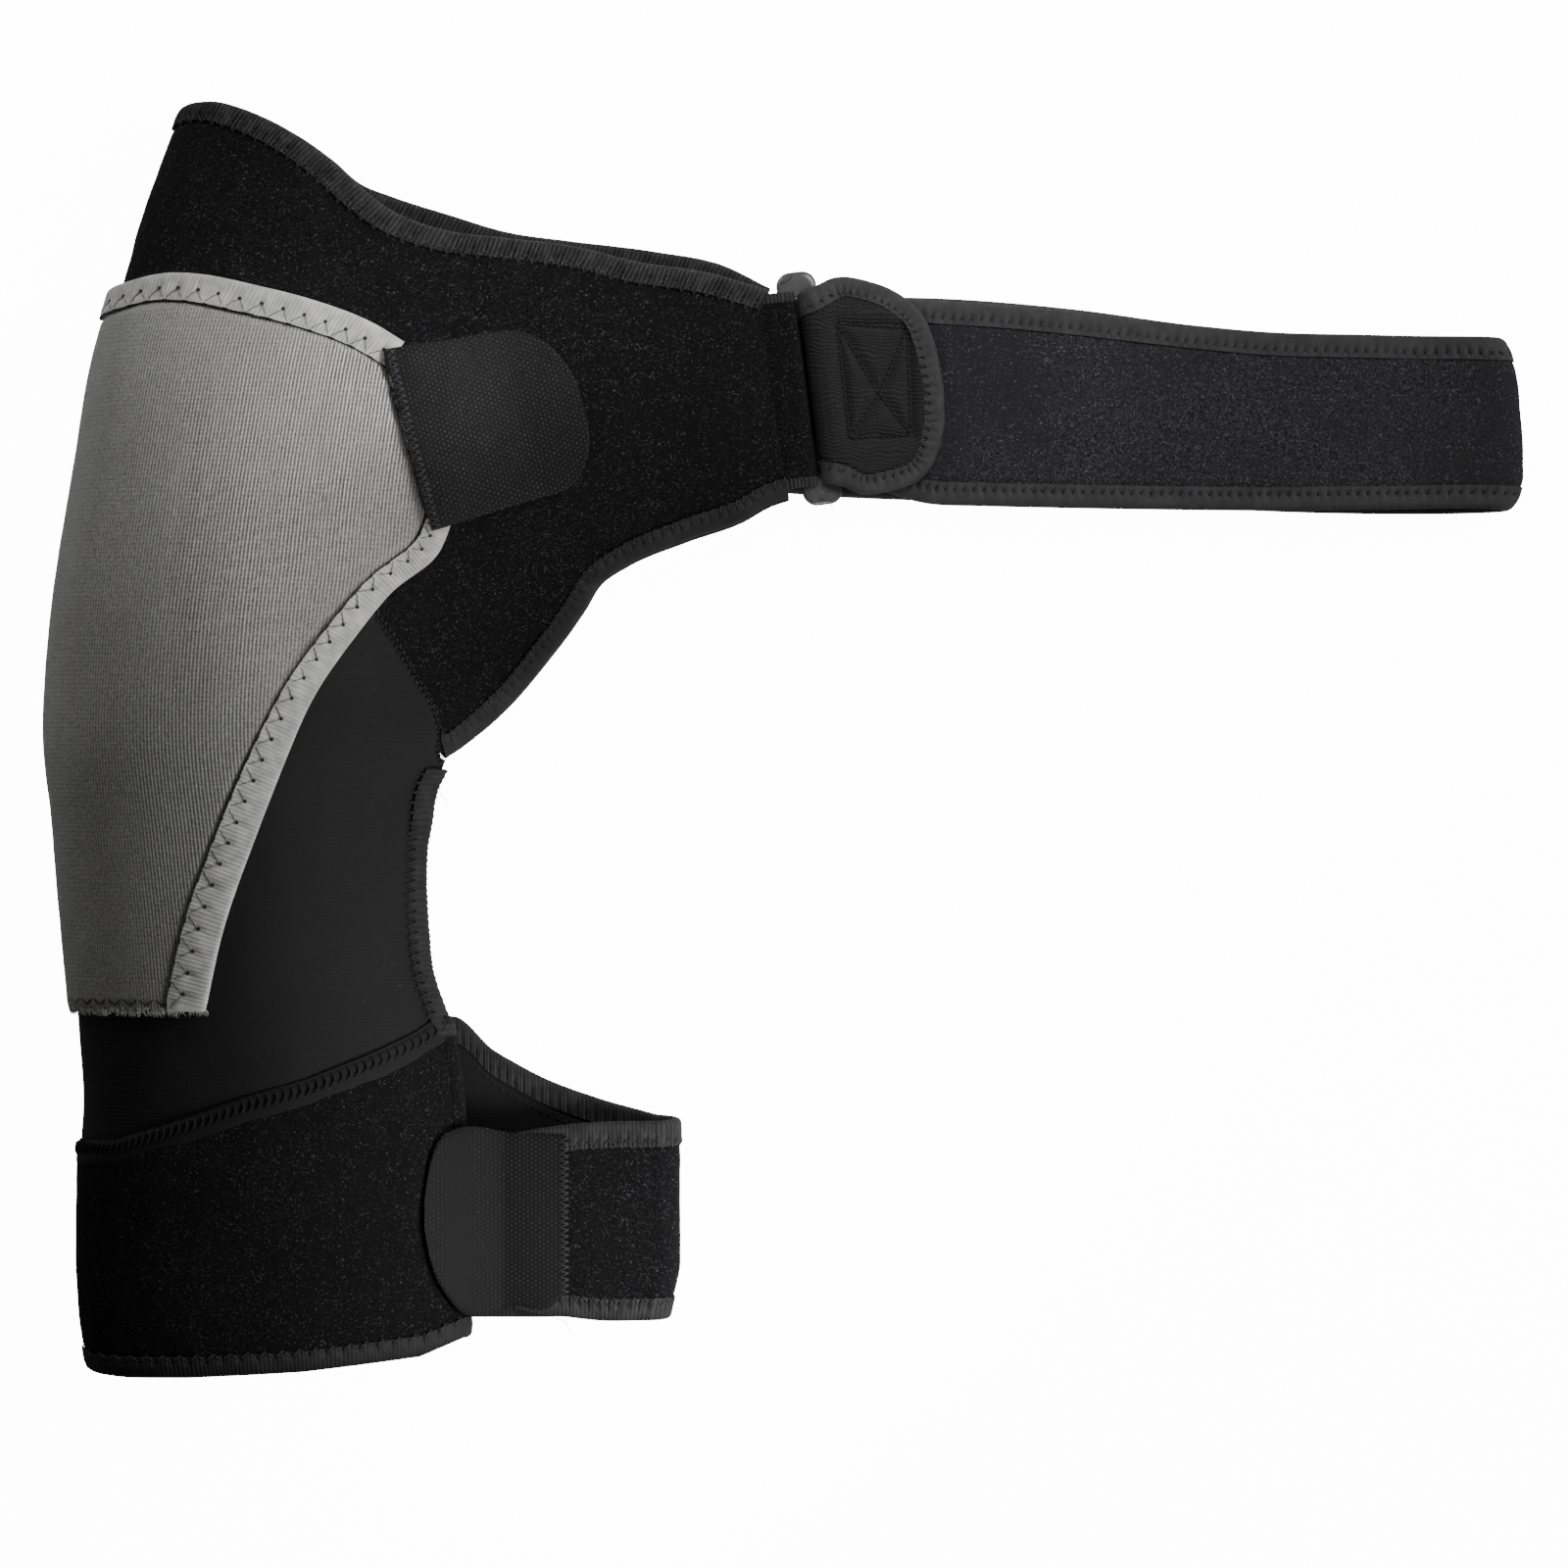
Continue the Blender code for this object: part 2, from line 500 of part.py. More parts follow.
def make_cover_tab():
    """The cover's hook tab, sewn on its corner and stepping down on to the wing."""
    along = np.array([-0.5, 7, 13, 19, 26, 34, 44, 54, 62, 68, 72, 74.4])
    up = spline(COVER_TAB[:, 0], COVER_TAB[:, 1], along)
    down = spline(COVER_TAB[:, 0], COVER_TAB[:, 2], along)
    side = np.linspace(-1, 1, 7)
    across = (up[:, None] + down[:, None]) / 2 + (up[:, None] - down[:, None]) / 2 * side
    x = TAB_ROOT[0] + along[:, None] * np.cos(TAB_TURN) - across * np.sin(TAB_TURN)
    y = TAB_ROOT[1] + along[:, None] * np.sin(TAB_TURN) + across * np.cos(TAB_TURN)
    at = unroll(np.stack([x.ravel(), y.ravel()], axis=1), FRONT_BEND, 1).reshape(*x.shape, 2)
    off = COVER_PROUD + 0.9 - (COVER_PROUD + 0.3) * ease((along - 14) / 15)[:, None] + 0 * x
    outer = wall(section, at[..., 0], at[..., 1], off + TAB_WALL)
    inner = wall(section, at[..., 0], at[..., 1], off)
    solid("cover_tab", outer, inner, "hook_black")


def strap_path():
    """The strap's middle line as s, x and z, from the back wing round the right fold to the flap's end."""
    bar_x, bar_z = RING_CENTRE[0] + RING_BAR_AT, RING_CENTRE[2]
    bar_turn = 4.75
    right = 316.0 - STRAP_WALL / 2
    top_z = spline(STRAP_WAVE[:, 0], STRAP_WAVE[:, 1], 297.0)
    radius = (top_z - STRAP_LOW) / 2
    x = np.linspace(-27, right - radius, 60)
    back = np.stack([x, STRAP_LOW + 5.1 * (1 - ease((x - 4) / 30))], axis=1)
    turn = np.linspace(-np.pi / 2, np.pi / 2, 13)[1:-1]
    loop = np.stack([right - radius + radius * np.cos(turn), STRAP_LOW + radius + radius * np.sin(turn)], axis=1)
    x = np.linspace(right - radius, bar_x, 70)
    front = np.stack([x, spline(STRAP_WAVE[:, 0], STRAP_WAVE[:, 1], x)], axis=1)
    front[:, 1] += (bar_z - bar_turn - front[-1, 1]) * ease((40 - x) / 22)
    turn = np.linspace(-np.pi / 2, -3 * np.pi / 2, 11)[1:-1]
    wrap = np.stack([bar_x + bar_turn * np.cos(turn), bar_z + bar_turn * np.sin(turn)], axis=1)
    x = np.linspace(bar_x, 69.5, 24)
    rest = spline(STRAP_WAVE[:, 0], STRAP_WAVE[:, 1], x) + STRAP_BINDING + 0.35
    flap = np.stack([x, np.maximum(rest, bar_z + bar_turn - 5.2 * ease((x - bar_x) / 50))], axis=1)
    line = np.concatenate([back, loop, front, wrap, flap])
    s = np.concatenate([[0], np.cumsum(np.linalg.norm(np.diff(line, axis=0), axis=1))])
    marks = np.cumsum([len(back), len(loop), len(front), len(wrap)])
    return s, line, s[marks - 1]


def make_strap():
    """The chest strap and its one binding, which runs up one edge, round the flap and down the other."""
    s, line, marks = strap_path()
    back_end, loop_end, front_end, wrap_end = marks
    top, low = [], []
    for table, start, sign in ((STRAP_BACK, 0.0, 1), (STRAP_FRONT, loop_end, -1), (FLAP, wrap_end, 1)):
        at = start + sign * (table[:, 0] - {0.0: -27.0, loop_end: line[73, 0], wrap_end: RING_CENTRE[0] + RING_BAR_AT}[start])
        top.append(np.stack([at, table[:, 1]], axis=1))
        low.append(np.stack([at, table[:, 2]], axis=1))
    top, low = np.concatenate(top), np.concatenate(low)
    end = top[-1, 0]

    def lean(at):
        return -RING_LEAN * ease((at - (front_end - 45)) / 40) * (1 - 0.75 * ease((at - wrap_end) / 50))

    def surface(at, y):
        x = np.interp(at, s, line[:, 0])
        z = np.interp(at, s, line[:, 1])
        near = ease((at - back_end + 45) / 45) * (1 - ease((at - loop_end) / 45))
        x = x - near * spline(FOLD_IN[:, 0], FOLD_IN[:, 1], y)
        return np.stack([x + lean(at) * (y - RING_CENTRE[1]), y + 0 * x, z], axis=-1)

    def flat(at, y, off):
        h = 1.0
        x = np.interp(at + h, s, line[:, 0]) - np.interp(at - h, s, line[:, 0])
        z = np.interp(at + h, s, line[:, 1]) - np.interp(at - h, s, line[:, 1])
        size = np.hypot(x, z)
        return surface(at, y) + np.stack([-z / size, 0 * x, x / size], axis=-1) * -np.asarray(off)[..., None]

    run = np.concatenate([
        np.linspace(0, back_end, 14)[:-1], np.linspace(back_end, loop_end, 7)[:-1],
        np.linspace(loop_end, front_end - 12, 18)[:-1], np.linspace(front_end - 12, front_end, 3)[:-1],
        np.linspace(front_end, wrap_end, 7)[:-1], np.linspace(wrap_end, end - 20, 5)[:-1],
        end - 20 * (1 - np.sin(np.linspace(0, np.pi / 2, 7))),
    ])
    upper = np.stack([run, spline(top[:, 0], top[:, 1], run)], axis=1)
    lower = np.stack([run, spline(low[:, 0], low[:, 1], run)], axis=1)
    edge = np.concatenate([lower, upper[::-1]])
    wide = 10.0 - 1.5 * ease((edge[:, 0] - wrap_end + 10) / 20)
    inner = inset(edge, -wide)
    panel = inset(edge, -wide - 2.5 * GAP)
    half = len(run)
    rings = []
    share = np.array([1.0, 0.4, 0.0, 0.0, 0.4, 1.0])
    level = np.array([1.0, 1.0, 0.45, -0.45, -1.0, -1.0]) * STRAP_BINDING / 2
    for k, h in zip(share, level):
        at = edge + (inner - edge) * k
        rings.append(flat(at[:, 0], at[:, 1], h + 0 * at[:, 0]))
    sweep("chest_strap_binding", np.stack(rings, axis=1), "binding_black")
    stop = panel[half - 1, 0]
    at = np.append(run[run < stop - 1.0], stop - 0.4)
    low_y = np.interp(at, panel[:half, 0], panel[:half, 1])
    top_y = np.interp(at, panel[half:, 0][::-1], panel[half:, 1][::-1])
    v = np.linspace(0, 1, 4)
    y = low_y[:, None] * (1 - v) + top_y[:, None] * v
    a = np.broadcast_to(at[:, None], y.shape)
    solid("chest_strap", flat(a, y, STRAP_WALL / 2 + 0 * y), flat(a, y, -STRAP_WALL / 2 + 0 * y), "loop_fabric")


def ring_frame(across, along, z):
    """A point given across and along the leaning ring."""
    size = np.hypot(1, RING_LEAN)
    x = RING_CENTRE[0] + (across - along * RING_LEAN) / size
    y = RING_CENTRE[1] + (across * RING_LEAN + along) / size
    return np.stack([x, y, z + 0 * x], axis=-1)


def rounded(half_x, half_y, radius, n):
    """A rounded rectangle, n points to a corner."""
    points = []
    for k, (sx, sy) in enumerate(((1, 1), (-1, 1), (-1, -1), (1, -1))):
        turn = np.linspace(0, np.pi / 2, n) + k * np.pi / 2
        points.append(np.stack([
            sx * (half_x - radius) + radius * np.cos(turn), sy * (half_y - radius) + radius * np.sin(turn),
        ], axis=1))
    return np.concatenate(points)


def make_ring():
    """The rectangular ring and the wing's tongue that wraps its left bar."""
    outer = rounded(RING_ACROSS / 2, RING_LONG / 2, 6.0, 6)
    hole = rounded(RING_ACROSS / 2 - RING_BAR, RING_LONG / 2 - RING_END, 2.0, 6)
    share = np.array([0.0, 0.0, 0.22, 0.78, 1.0, 1.0, 0.78, 0.22])
    level = np.array([-0.6, 0.6, 1.0, 1.0, 0.6, -0.6, -1.0, -1.0]) * RING_BAR / 2
    rings = []
    for k, h in zip(share, level):
        at = outer + (hole - outer) * k
        rings.append(ring_frame(at[:, 0], at[:, 1], RING_CENTRE[2] + h))
    sweep("ring_buckle", np.stack(rings, axis=1), "gloss_black", closed=True)
    turn_r = RING_BAR / 2 + 0.7 + LOOP_WALL / 2
    bar = -RING_BAR_AT
    turn = np.linspace(np.pi / 2, -np.pi / 2, 9)
    x = np.linspace(-13.4, bar, 5)[:-1]
    top = np.stack([x, 24.35 + (turn_r + RING_CENTRE[2] - 24.35) * ease((x + 13.4) / 7.1)], axis=1)
    wrap = np.stack([bar + turn_r * np.cos(turn), RING_CENTRE[2] + turn_r * np.sin(turn)], axis=1)
    x = np.linspace(bar, -40, 8)[1:]
    under = np.stack([x, RING_CENTRE[2] - turn_r + 1.6 * ease((bar - x) / 34)], axis=1)
    line = np.concatenate([top, wrap, under])
    step = np.gradient(line, axis=0)
    step /= np.linalg.norm(step, axis=1, keepdims=True)
    normal = np.stack([-step[:, 1], step[:, 0]], axis=1)
    along = np.linspace(-1, 1, 5)
    half = 41.3 - 1.5 * ease((np.arange(len(line)) - 14) / 6)
    layers = []
    for side in (LOOP_WALL / 2, -LOOP_WALL / 2):
        at = line + normal * side
        a = np.broadcast_to(at[:, :1], (len(line), 5))
        z = np.broadcast_to(at[:, 1:], (len(line), 5))
        layers.append(ring_frame(a, along * half[:, None], z))
    solid("ring_loop", layers[0], layers[1], "loop_fabric")


def band_solid(name, line, top, low, wall_mm, share, colour):
    """A band that follows a line of x and z, between shares of the way from its lower to its upper edge."""
    step = np.gradient(line, axis=0)
    step /= np.linalg.norm(step, axis=1, keepdims=True)
    normal = np.stack([-step[:, 1], step[:, 0]], axis=1)
    y = low[:, None] + share
    layers = []
    for side in (wall_mm / 2, -wall_mm / 2):
        at = line + normal * side
        x = at[:, :1] - 4.5 * ease((-222 - y) / 26) * ease((at[:, :1] + 85) / 38)
        layers.append(np.stack([x, y, np.broadcast_to(at[:, 1:], y.shape)], axis=-1))
    solid(name, layers[0], layers[1], colour)


def make_cuff_strap():
    """The cuff's strap from behind the cuff, round its right fold and back over the front, with its hook tab."""
    low_z = STRAP_LOW
    radius = (CUFF_STRAP_MIDDLE - low_z) / 2
    right = CUFF_STRAP_RIGHT - STRAP_WALL / 2
    x = np.linspace(-151.5, right - radius, 14)
    back = np.stack([x, low_z + 1.9 * ease((-143 - x) / 8.5)], axis=1)
    turn = np.linspace(-np.pi / 2, np.pi / 2, 10)[1:-1]
    loop = np.stack([right - radius + radius * np.cos(turn), low_z + radius + radius * np.sin(turn)], axis=1)
    x = np.linspace(right - radius, -114, 10)
    front = np.stack([x, CUFF_STRAP_MIDDLE + 0.8 * np.sin((x - right) / 18)], axis=1)
    line = np.concatenate([back, loop, front])
    tables = (CUFF_STRAP_BACK, CUFF_STRAP_FRONT)
    edges = []
    for k in (1, 2):
        rear = spline(tables[0][:, 0], tables[0][:, k], back[:, 0])
        fore = spline(tables[1][:, 0], tables[1][:, k], front[:, 0])
        mid = rear[-1] + (fore[0] - rear[-1]) * np.linspace(0, 1, 10)[1:-1]
        edges.append(np.concatenate([rear, mid, fore]))
    top, low = edges
    wide_top, wide_low = 11.0, 9.5
    inside = (top - low - wide_top - wide_low - 2 * GAP)[:, None] * np.linspace(0, 1, 3) + wide_low + GAP
    band_solid("cuff_strap", line, top, low, STRAP_WALL, inside, "loop_fabric")
    for name, start, wide in (
        ("cuff_strap_upper_binding", top - low - wide_top, wide_top),
        ("cuff_strap_lower_binding", 0 * low, wide_low),
    ):
        share = start[:, None] + wide * np.array([0.0, 0.5, 1.0])
        band_solid(name, line, top, low, STRAP_BINDING, share, "binding_black")
    x = np.array([-92.5, -97, -103, -110, -117, -124, -130, -135, -139.5, -143, -146, -148.5, -150.4, -151.6])
    up = spline(CUFF_TAB[:, 0], CUFF_TAB[:, 1], x)
    down = spline(CUFF_TAB[:, 0], CUFF_TAB[:, 2], x)
    y = down[:, None] + (up - down)[:, None] * np.linspace(0, 1, 5)
    xx = np.broadcast_to(x[:, None], y.shape)
    rest = CUFF_STRAP_MIDDLE + 0.8 * np.sin((xx - right) / 18) + STRAP_BINDING / 2 + 0.4
    rest = rest + 13.7 * np.clip((-118 - xx) / 34, 0, 1) ** 1.35
    over = np.stack([xx, y, rest + TAB_WALL], axis=-1)
    solid("cuff_strap_tab", over, np.stack([xx, y, rest], axis=-1), "hook_black")


def main():
    for obj in list(bpy.data.objects):
        bpy.data.objects.remove(obj)
    make_body()
    make_arm()
    make_cover()
    make_strap()
    make_ring()
    make_cuff_strap()


main()
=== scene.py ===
import bpy
import numpy as np
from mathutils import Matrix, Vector


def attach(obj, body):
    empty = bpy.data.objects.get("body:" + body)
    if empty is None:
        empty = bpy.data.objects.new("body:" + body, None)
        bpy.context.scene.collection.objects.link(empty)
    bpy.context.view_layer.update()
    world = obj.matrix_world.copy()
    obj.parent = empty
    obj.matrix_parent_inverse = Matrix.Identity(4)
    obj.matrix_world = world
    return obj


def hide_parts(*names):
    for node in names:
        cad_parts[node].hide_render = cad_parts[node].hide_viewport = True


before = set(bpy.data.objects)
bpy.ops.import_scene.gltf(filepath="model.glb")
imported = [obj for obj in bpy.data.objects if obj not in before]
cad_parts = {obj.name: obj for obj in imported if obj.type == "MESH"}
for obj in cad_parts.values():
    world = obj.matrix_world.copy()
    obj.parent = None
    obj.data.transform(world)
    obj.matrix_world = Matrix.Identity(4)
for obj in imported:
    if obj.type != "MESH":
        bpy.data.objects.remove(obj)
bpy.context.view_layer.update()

bl_info = {
    "name": "Shoulder brace",
    "version": (1, 0, 0),
    "blender": (4, 5, 0),
    "location": "3D View > Sidebar > Brace",
    "description": "Cloth, tapes, stitching and ring of a shoulder brace that lies folded",
    "category": "Object",
}

# Lengths in the tables and functions are millimetres. ORIGIN is where the CAD's origin lies on the tables' axes.
MM = 0.001
ORIGIN = np.array((1.3, 1.7, 0.0))

# Cloth sizes, the same as the CAD's.
FRONT_BEND = 68.0
BACK_BEND = 42.0
PANEL_WALL = 3.8
SLEEVE_WALL = 3.2
CUFF_PROUD = 1.2
BINDING_PROUD = 0.5
BINDING_WIDE = 9.0
NOSE = 4.4
NOSE_FROM = 0.73
NOSE_TO = 2.62
SEAM_HIGH = 20.0
COVER_LOW = 1.3
COVER_HIGH = 4.6
COVER_PROUD = 5.0
COVER_FOOT = -113.0
COVER_TOP_WIDE = 12.0
COVER_SIDE_WIDE = (11.0, 16.5)
TAB_WALL = 1.6
STRAP_WALL = 3.4
STRAP_BINDING = 4.1
STRAP_LOW = 2.05
STRAP_RIGHT = 316.0
RING_ACROSS = 17.0
RING_LONG = 99.5
RING_BAR = 4.0
RING_END = 7.2
RING_BAR_AT = 6.5
RING_CENTRE = (11.0, 149.5, 19.5)
RING_LEAN = 0.129
BAR_X = RING_CENTRE[0] + RING_BAR_AT
BAR_TURN = 4.75
LOOP_WALL = 2.6
CUFF_STRAP_RIGHT = -44.0
CUFF_STRAP_MIDDLE = 18.8

# What only the scene has: how far a panel reaches under its tapes, a rib of tape, and how fine the meshes are.
UNDER_TAPE = 2.5
RIB = 1.9
NECK_STATIONS = 640
HOLE_COLUMNS = 58
WING_COLUMNS = 92
PANEL_ROWS = 94
TUBE_COLUMNS = 76
COVER_COLUMNS = 74
COVER_ROWS = 118
TAB_GRID = 66
STRAP_STATIONS = 1700
FRAYS = 600
OVERLOCK_STITCHES = 172
FLOOR_HALF = 12.0
VIEW_END = 60.0

# The fold line: how far up the body, where its left side is, crest height and fold height.
FOLD = np.array([
    (271, -254.0, 46, 22), (264, -257.0, 48, 23), (243, -264.5, 54, 26), (222, -271.5, 60, 28),
    (201, -277.5, 66, 30), (166, -287.0, 74, 32), (124, -294.5, 80, 33), (83, -301.0, 82, 33),
    (41, -306.5, 81, 33), (0, -308.5, 78, 32), (-41, -305.0, 72, 31), (-83, -301.0, 67, 29),
    (-120, -298.5, 62, 28), (-158, -296.8, 58, 27), (-180, -298.4, 57, 27), (-203, -298.9, 55, 27),
    (-228, -298.4, 53, 27), (-248, -297.0, 52, 27), (-272, -292.5, 50, 27),
])
# The right side of the front: how far up, where, and the height of the sheet there.
RIGHT = np.array([
    (275, 8.5, 26), (103, 8.5, 26), (93.5, -16.5, 26), (84.5, -41.5, 26), (74, -66.5, 26), (56, -84, 26),
    (35.5, -98.5, 25), (14.5, -115.5, 24.5), (4, -126.5, 24), (-6, -139.8, 23.6), (-16.5, -147, 23.4),
    (-37.5, -151.4, 23.4), (-79, -152, 23.4), (-100, -149.5, 23.4), (-118.5, -143.2, 23.4),
    (-143.5, -138.4, 23.4), (-164.5, -136.6, 23.4), (-206, -135.2, 23.4), (-275, -134.2, 23.4),
])
# Outlines seen from the front, as x and y.
NECK_FRONT = np.array([
    (-246.5, 270.5), (-239.5, 270), (-227, 266), (-214, 260), (-201.5, 252.5), (-188.5, 242.5), (-176, 231),
    (-164, 222), (-140.5, 213.5), (-117, 211), (-86, 207.5), (-62.5, 202), (-31, 197.5), (-5.5, 190.5),
])
NECK_BACK = np.array([
    (-248.5, 272), (-242.5, 272.5), (-230, 269.5), (-217.5, 264), (-205, 257), (-192.5, 248), (-180, 237.5),
    (-167.5, 232.5), (-142.5, 224.5), (-117, 217), (-92, 213.5), (-54.5, 209), (-29, 204.5), (-5.5, 193.5),
])
ARMHOLE = np.array([
    (-266.5, 127), (-232, 111.5), (-203, 91), (-183, 69), (-165.5, 45.5), (-157, 30), (-147.5, 13.5),
    (-145.2, 5),
])
WING_LOW = np.array([
    (-144, -8.5), (-139.5, -6), (-126.5, 4), (-115.5, 14.5), (-98.5, 35.5), (-84, 56), (-77.5, 66.5),
    (-66.5, 74), (-41.5, 84.5), (-16.5, 93.5), (-6, 99.5), (2.5, 102.5),
])
CUFF_TOP = np.array([
    (-280.5, -169.5), (-261.5, -163.5), (-242.5, -157.5), (-224, -151), (-199.5, -144), (-175, -134.5),
    (-156.5, -126),
])
CUFF_FOOT = np.array([
    (-289.5, -268), (-276, -269), (-250.5, -268.5), (-202, -266), (-177.5, -263.5), (-153.5, -261),
])
COVER_TOP = np.array([
    (-265, 194), (-252.5, 194), (-242, 193), (-219, 188), (-197.5, 182.5), (-172, 173), (-156, 163.5),
])
COVER_EDGE = np.array([
    (-156, 163.5), (-147.5, 129), (-139.5, 94), (-144.5, 82), (-166.5, 61), (-182.5, 40.5), (-195.5, 20),
    (-205, -0.5), (-220.5, -41), (-234, -82), (-241, -113),
])
# The cover's hook tab: how far along it from its sewn edge, and its upper and lower edges.
COVER_TAB = np.array([
    (-0.5, 36.6, -36.6), (12, 36, -36), (30, 35, -35.8), (48, 34.2, -35.8), (55, 33, -35.7), (61, 29.5, -34.5),
    (66, 25, -31), (70, 18.5, -25.5), (73, 10.5, -19), (74.6, 2, -10), (75, -2, -6),
])
TAB_ROOT = (-157.5, 125.4)
TAB_TURN = 0.245
# Strap layers: where, upper edge, lower edge. The last table is the flap beyond the ring.
STRAP_BACK = np.array([
    (-27, 187, 108), (0, 188.5, 105.5), (61, 189.5, 102.5), (126, 184.5, 101), (174, 178, 99.5),
    (220.5, 173.5, 97.5), (298, 171.5, 97),
])
STRAP_FRONT = np.array([
    (296.5, 172, 98.5), (250.5, 172.5, 98), (208.5, 173.5, 97.5), (167, 177.5, 98), (125.5, 182, 98.5),
    (83.5, 186, 99.5), (60.5, 187.5, 100.5), (38, 189.5, 105.5), (22, 190.3, 108.7),
])
FLAP = np.array([
    (14, 190.5, 108.5), (20, 193, 107.5), (27, 196.2, 104.5), (42, 194.5, 105.5), (50, 191, 107.5),
    (56, 186.5, 110), (61, 181, 114), (64.5, 173, 119.5), (67, 163, 126.5), (69, 150, 135),
])
# How far the strap's right fold is drawn in: how far up, and by how much.
FOLD_IN = np.array([(97, 6.5), (102, 3), (109, 0.5), (119.5, 0), (140, 1.3), (161, 4.2), (166, 6), (172, 9)])
# The front strap's wave: where, and its middle height.
STRAP_WAVE = np.array([
    (17.3, 15.0), (38, 15.1), (66, 15.6), (118, 18.3), (164, 14.7), (240, 18.8), (272, 15.3), (297, 16.6),
])
# The box and cross sewn through the flap: its four corners, then the middle of the cross.
FLAP_BOX = np.array([(22.7, 176.8), (52.6, 175.2), (54.3, 129.8), (28.1, 128.2)])
FLAP_CROSS = np.array((40.6, 146.5))
FLAP_SEAMS = [(FLAP_BOX[k], FLAP_BOX[(k + 1) % 4]) for k in range(4)] + [(corner, FLAP_CROSS) for corner in FLAP_BOX]
# The cuff strap: where, upper edge, lower edge.
CUFF_STRAP_BACK = np.array([
    (-152, -127, -247), (-142.5, -127, -247), (-130, -129.5, -247), (-117.5, -136.5, -247),
    (-104.5, -143.5, -247), (-79.5, -153, -246.5), (-54.5, -160, -246.5),
])
CUFF_STRAP_FRONT = np.array([
    (-54.5, -162, -247), (-79, -162.5, -247), (-92, -163.5, -245.5), (-106, -165.5, -243.5),
    (-114, -167, -241.5),
])
# The cuff strap's hook tab: where, upper edge, lower edge.
CUFF_TAB = np.array([
    (-92.5, -168, -234), (-97, -168, -239.5), (-114, -167, -240.2), (-139.5, -165.2, -239.5),
    (-144, -167.5, -233), (-148, -174, -225), (-150.5, -184, -215.5), (-152, -196, -206),
])
# Loose hairs: x, y and height of one end, x and y of the other, and how far it bows aside.
HAIRS = np.array([
    (-140.5, 94.0, 30.0, -133.5, 81.5, 1.6), (-1.0, 194.0, 22.0, 4.5, 199.5, -1.2),
    (15.5, 103.0, 22.0, 21.0, 97.5, 1.4), (-97.0, -246.0, 20.0, -91.0, -251.0, 1.5),
    (-263.0, -110.0, 42.0, -259.5, -119.0, 1.0), (-146.0, -20.0, 26.0, -142.0, -26.0, -1.2),
])
# Lights: where, what they face, their side and their spread. Lengths here are metres.
LIGHTS = (
    ("key", (0.85, 0.35, 0.55), (0.0, 0.1, 0.03), 0.35, 3.14),
    ("back", (-0.55, 0.7, 0.35), (-0.2, 0.1, 0.05), 0.35, 3.14),
    ("rim", (-1.08, 0.12, 0.27), (-0.2, 0.0, 0.05), 0.45, 3.14),
    ("near", (0.12, 0.34, 0.27), (-0.2, 0.12, 0.06), 0.16, 3.14),
    ("low", (0.02, -0.26, 0.17), (-0.2, 0.0, 0.05), 0.12, 3.14),
    ("sheen", (0.53, 0.37, 0.71), (-0.207, 0.150, 0.075), 0.12, 0.26),
)

# The CAD node that each main piece stands for.
STANDS_FOR = {
    "shoulder_panel": "shoulder_body", "sleeve": "arm_sleeve", "cuff": "arm_cuff", "cover": "shoulder_cover",
    "cover_hook_tab": "cover_tab", "strap": "chest_strap", "strap_tape": "chest_strap_binding",
    "ring": "ring_buckle", "ring_tongue": "ring_loop", "cuff_band": "cuff_strap",
    "cuff_hook_tab": "cuff_strap_tab", "underarm_tape": "underarm_seam",
}
for taped in ("neck", "front_wing", "back_wing", "cuff", "cover_top", "cover_front", "cover_back",
              "cuff_strap_upper", "cuff_strap_lower"):
    STANDS_FOR[f"{taped}_tape"] = f"{taped}_binding"


def linear(code):
    """An sRGB hex colour as linear red, green and blue."""
    srgb = np.array([int(code[k:k + 2], 16) for k in (1, 3, 5)]) / 255
    return tuple(float(c) for c in np.where(srgb <= 0.04045, srgb / 12.92, ((srgb + 0.055) / 1.055) ** 2.4))


# Curves and surfaces

def spline(knots, values, at):
    """A smooth curve through the knots, sloped at each knot by its neighbours, and straight past the ends."""
    knots, values = np.asarray(knots, float), np.asarray(values, float)
    if knots[0] > knots[-1]:
        knots, values = knots[::-1], values[::-1]
    slopes = np.gradient(values, knots)
    i = np.clip(np.searchsorted(knots, at, side="right") - 1, 0, len(knots) - 2)
    h = knots[i + 1] - knots[i]
    t = np.clip((at - knots[i]) / h, 0, 1)
    past = at - knots[i] - t * h
    a, b = values[i], values[i + 1]
    curve = a * (1 + 2 * t) * (1 - t) ** 2 + b * t * t * (3 - 2 * t)
    curve += h * (slopes[i] * t * (1 - t) ** 2 - slopes[i + 1] * t * t * (1 - t))
    return curve + past * np.where(t > 0.5, slopes[i + 1], slopes[i])


def read(table, column, at):
    """A smooth curve through one column of a table over its first."""
    return spline(table[:, 0], table[:, column], at)


def vectors(*parts):
    """Points or vectors from their parts, which are numbers or arrays of one shape."""
    return np.stack(np.broadcast_arrays(*parts), axis=-1)


def unit(v):
    """Vectors brought to length one."""
    return v / np.linalg.norm(v, axis=-1, keepdims=True)


def bell(off, spread):
    """A Gaussian: one at nought, and e to the minus one at the spread."""
    return np.exp(-(off / spread) ** 2)


def ease(t):
    """Nought to one, level at both ends: three t squared less two t cubed."""
    t = np.clip(t, 0, 1)
    return t * t * (3 - 2 * t)


def ripple(a, b, size, seed):
    """Soft unevenness from minus one to one: the mean of seven sines, each run its own way at about the size given."""
    pick = np.random.default_rng(seed)
    total = 0.0
    for turn, stretch, start in zip(pick.uniform(0, np.pi, 7), pick.uniform(0.7, 1.5, 7), pick.uniform(0, 6.28, 7)):
        total = total + np.sin((a * np.cos(turn) + b * np.sin(turn)) * 2 * np.pi / (size * stretch) + start)
    return total / 3.5


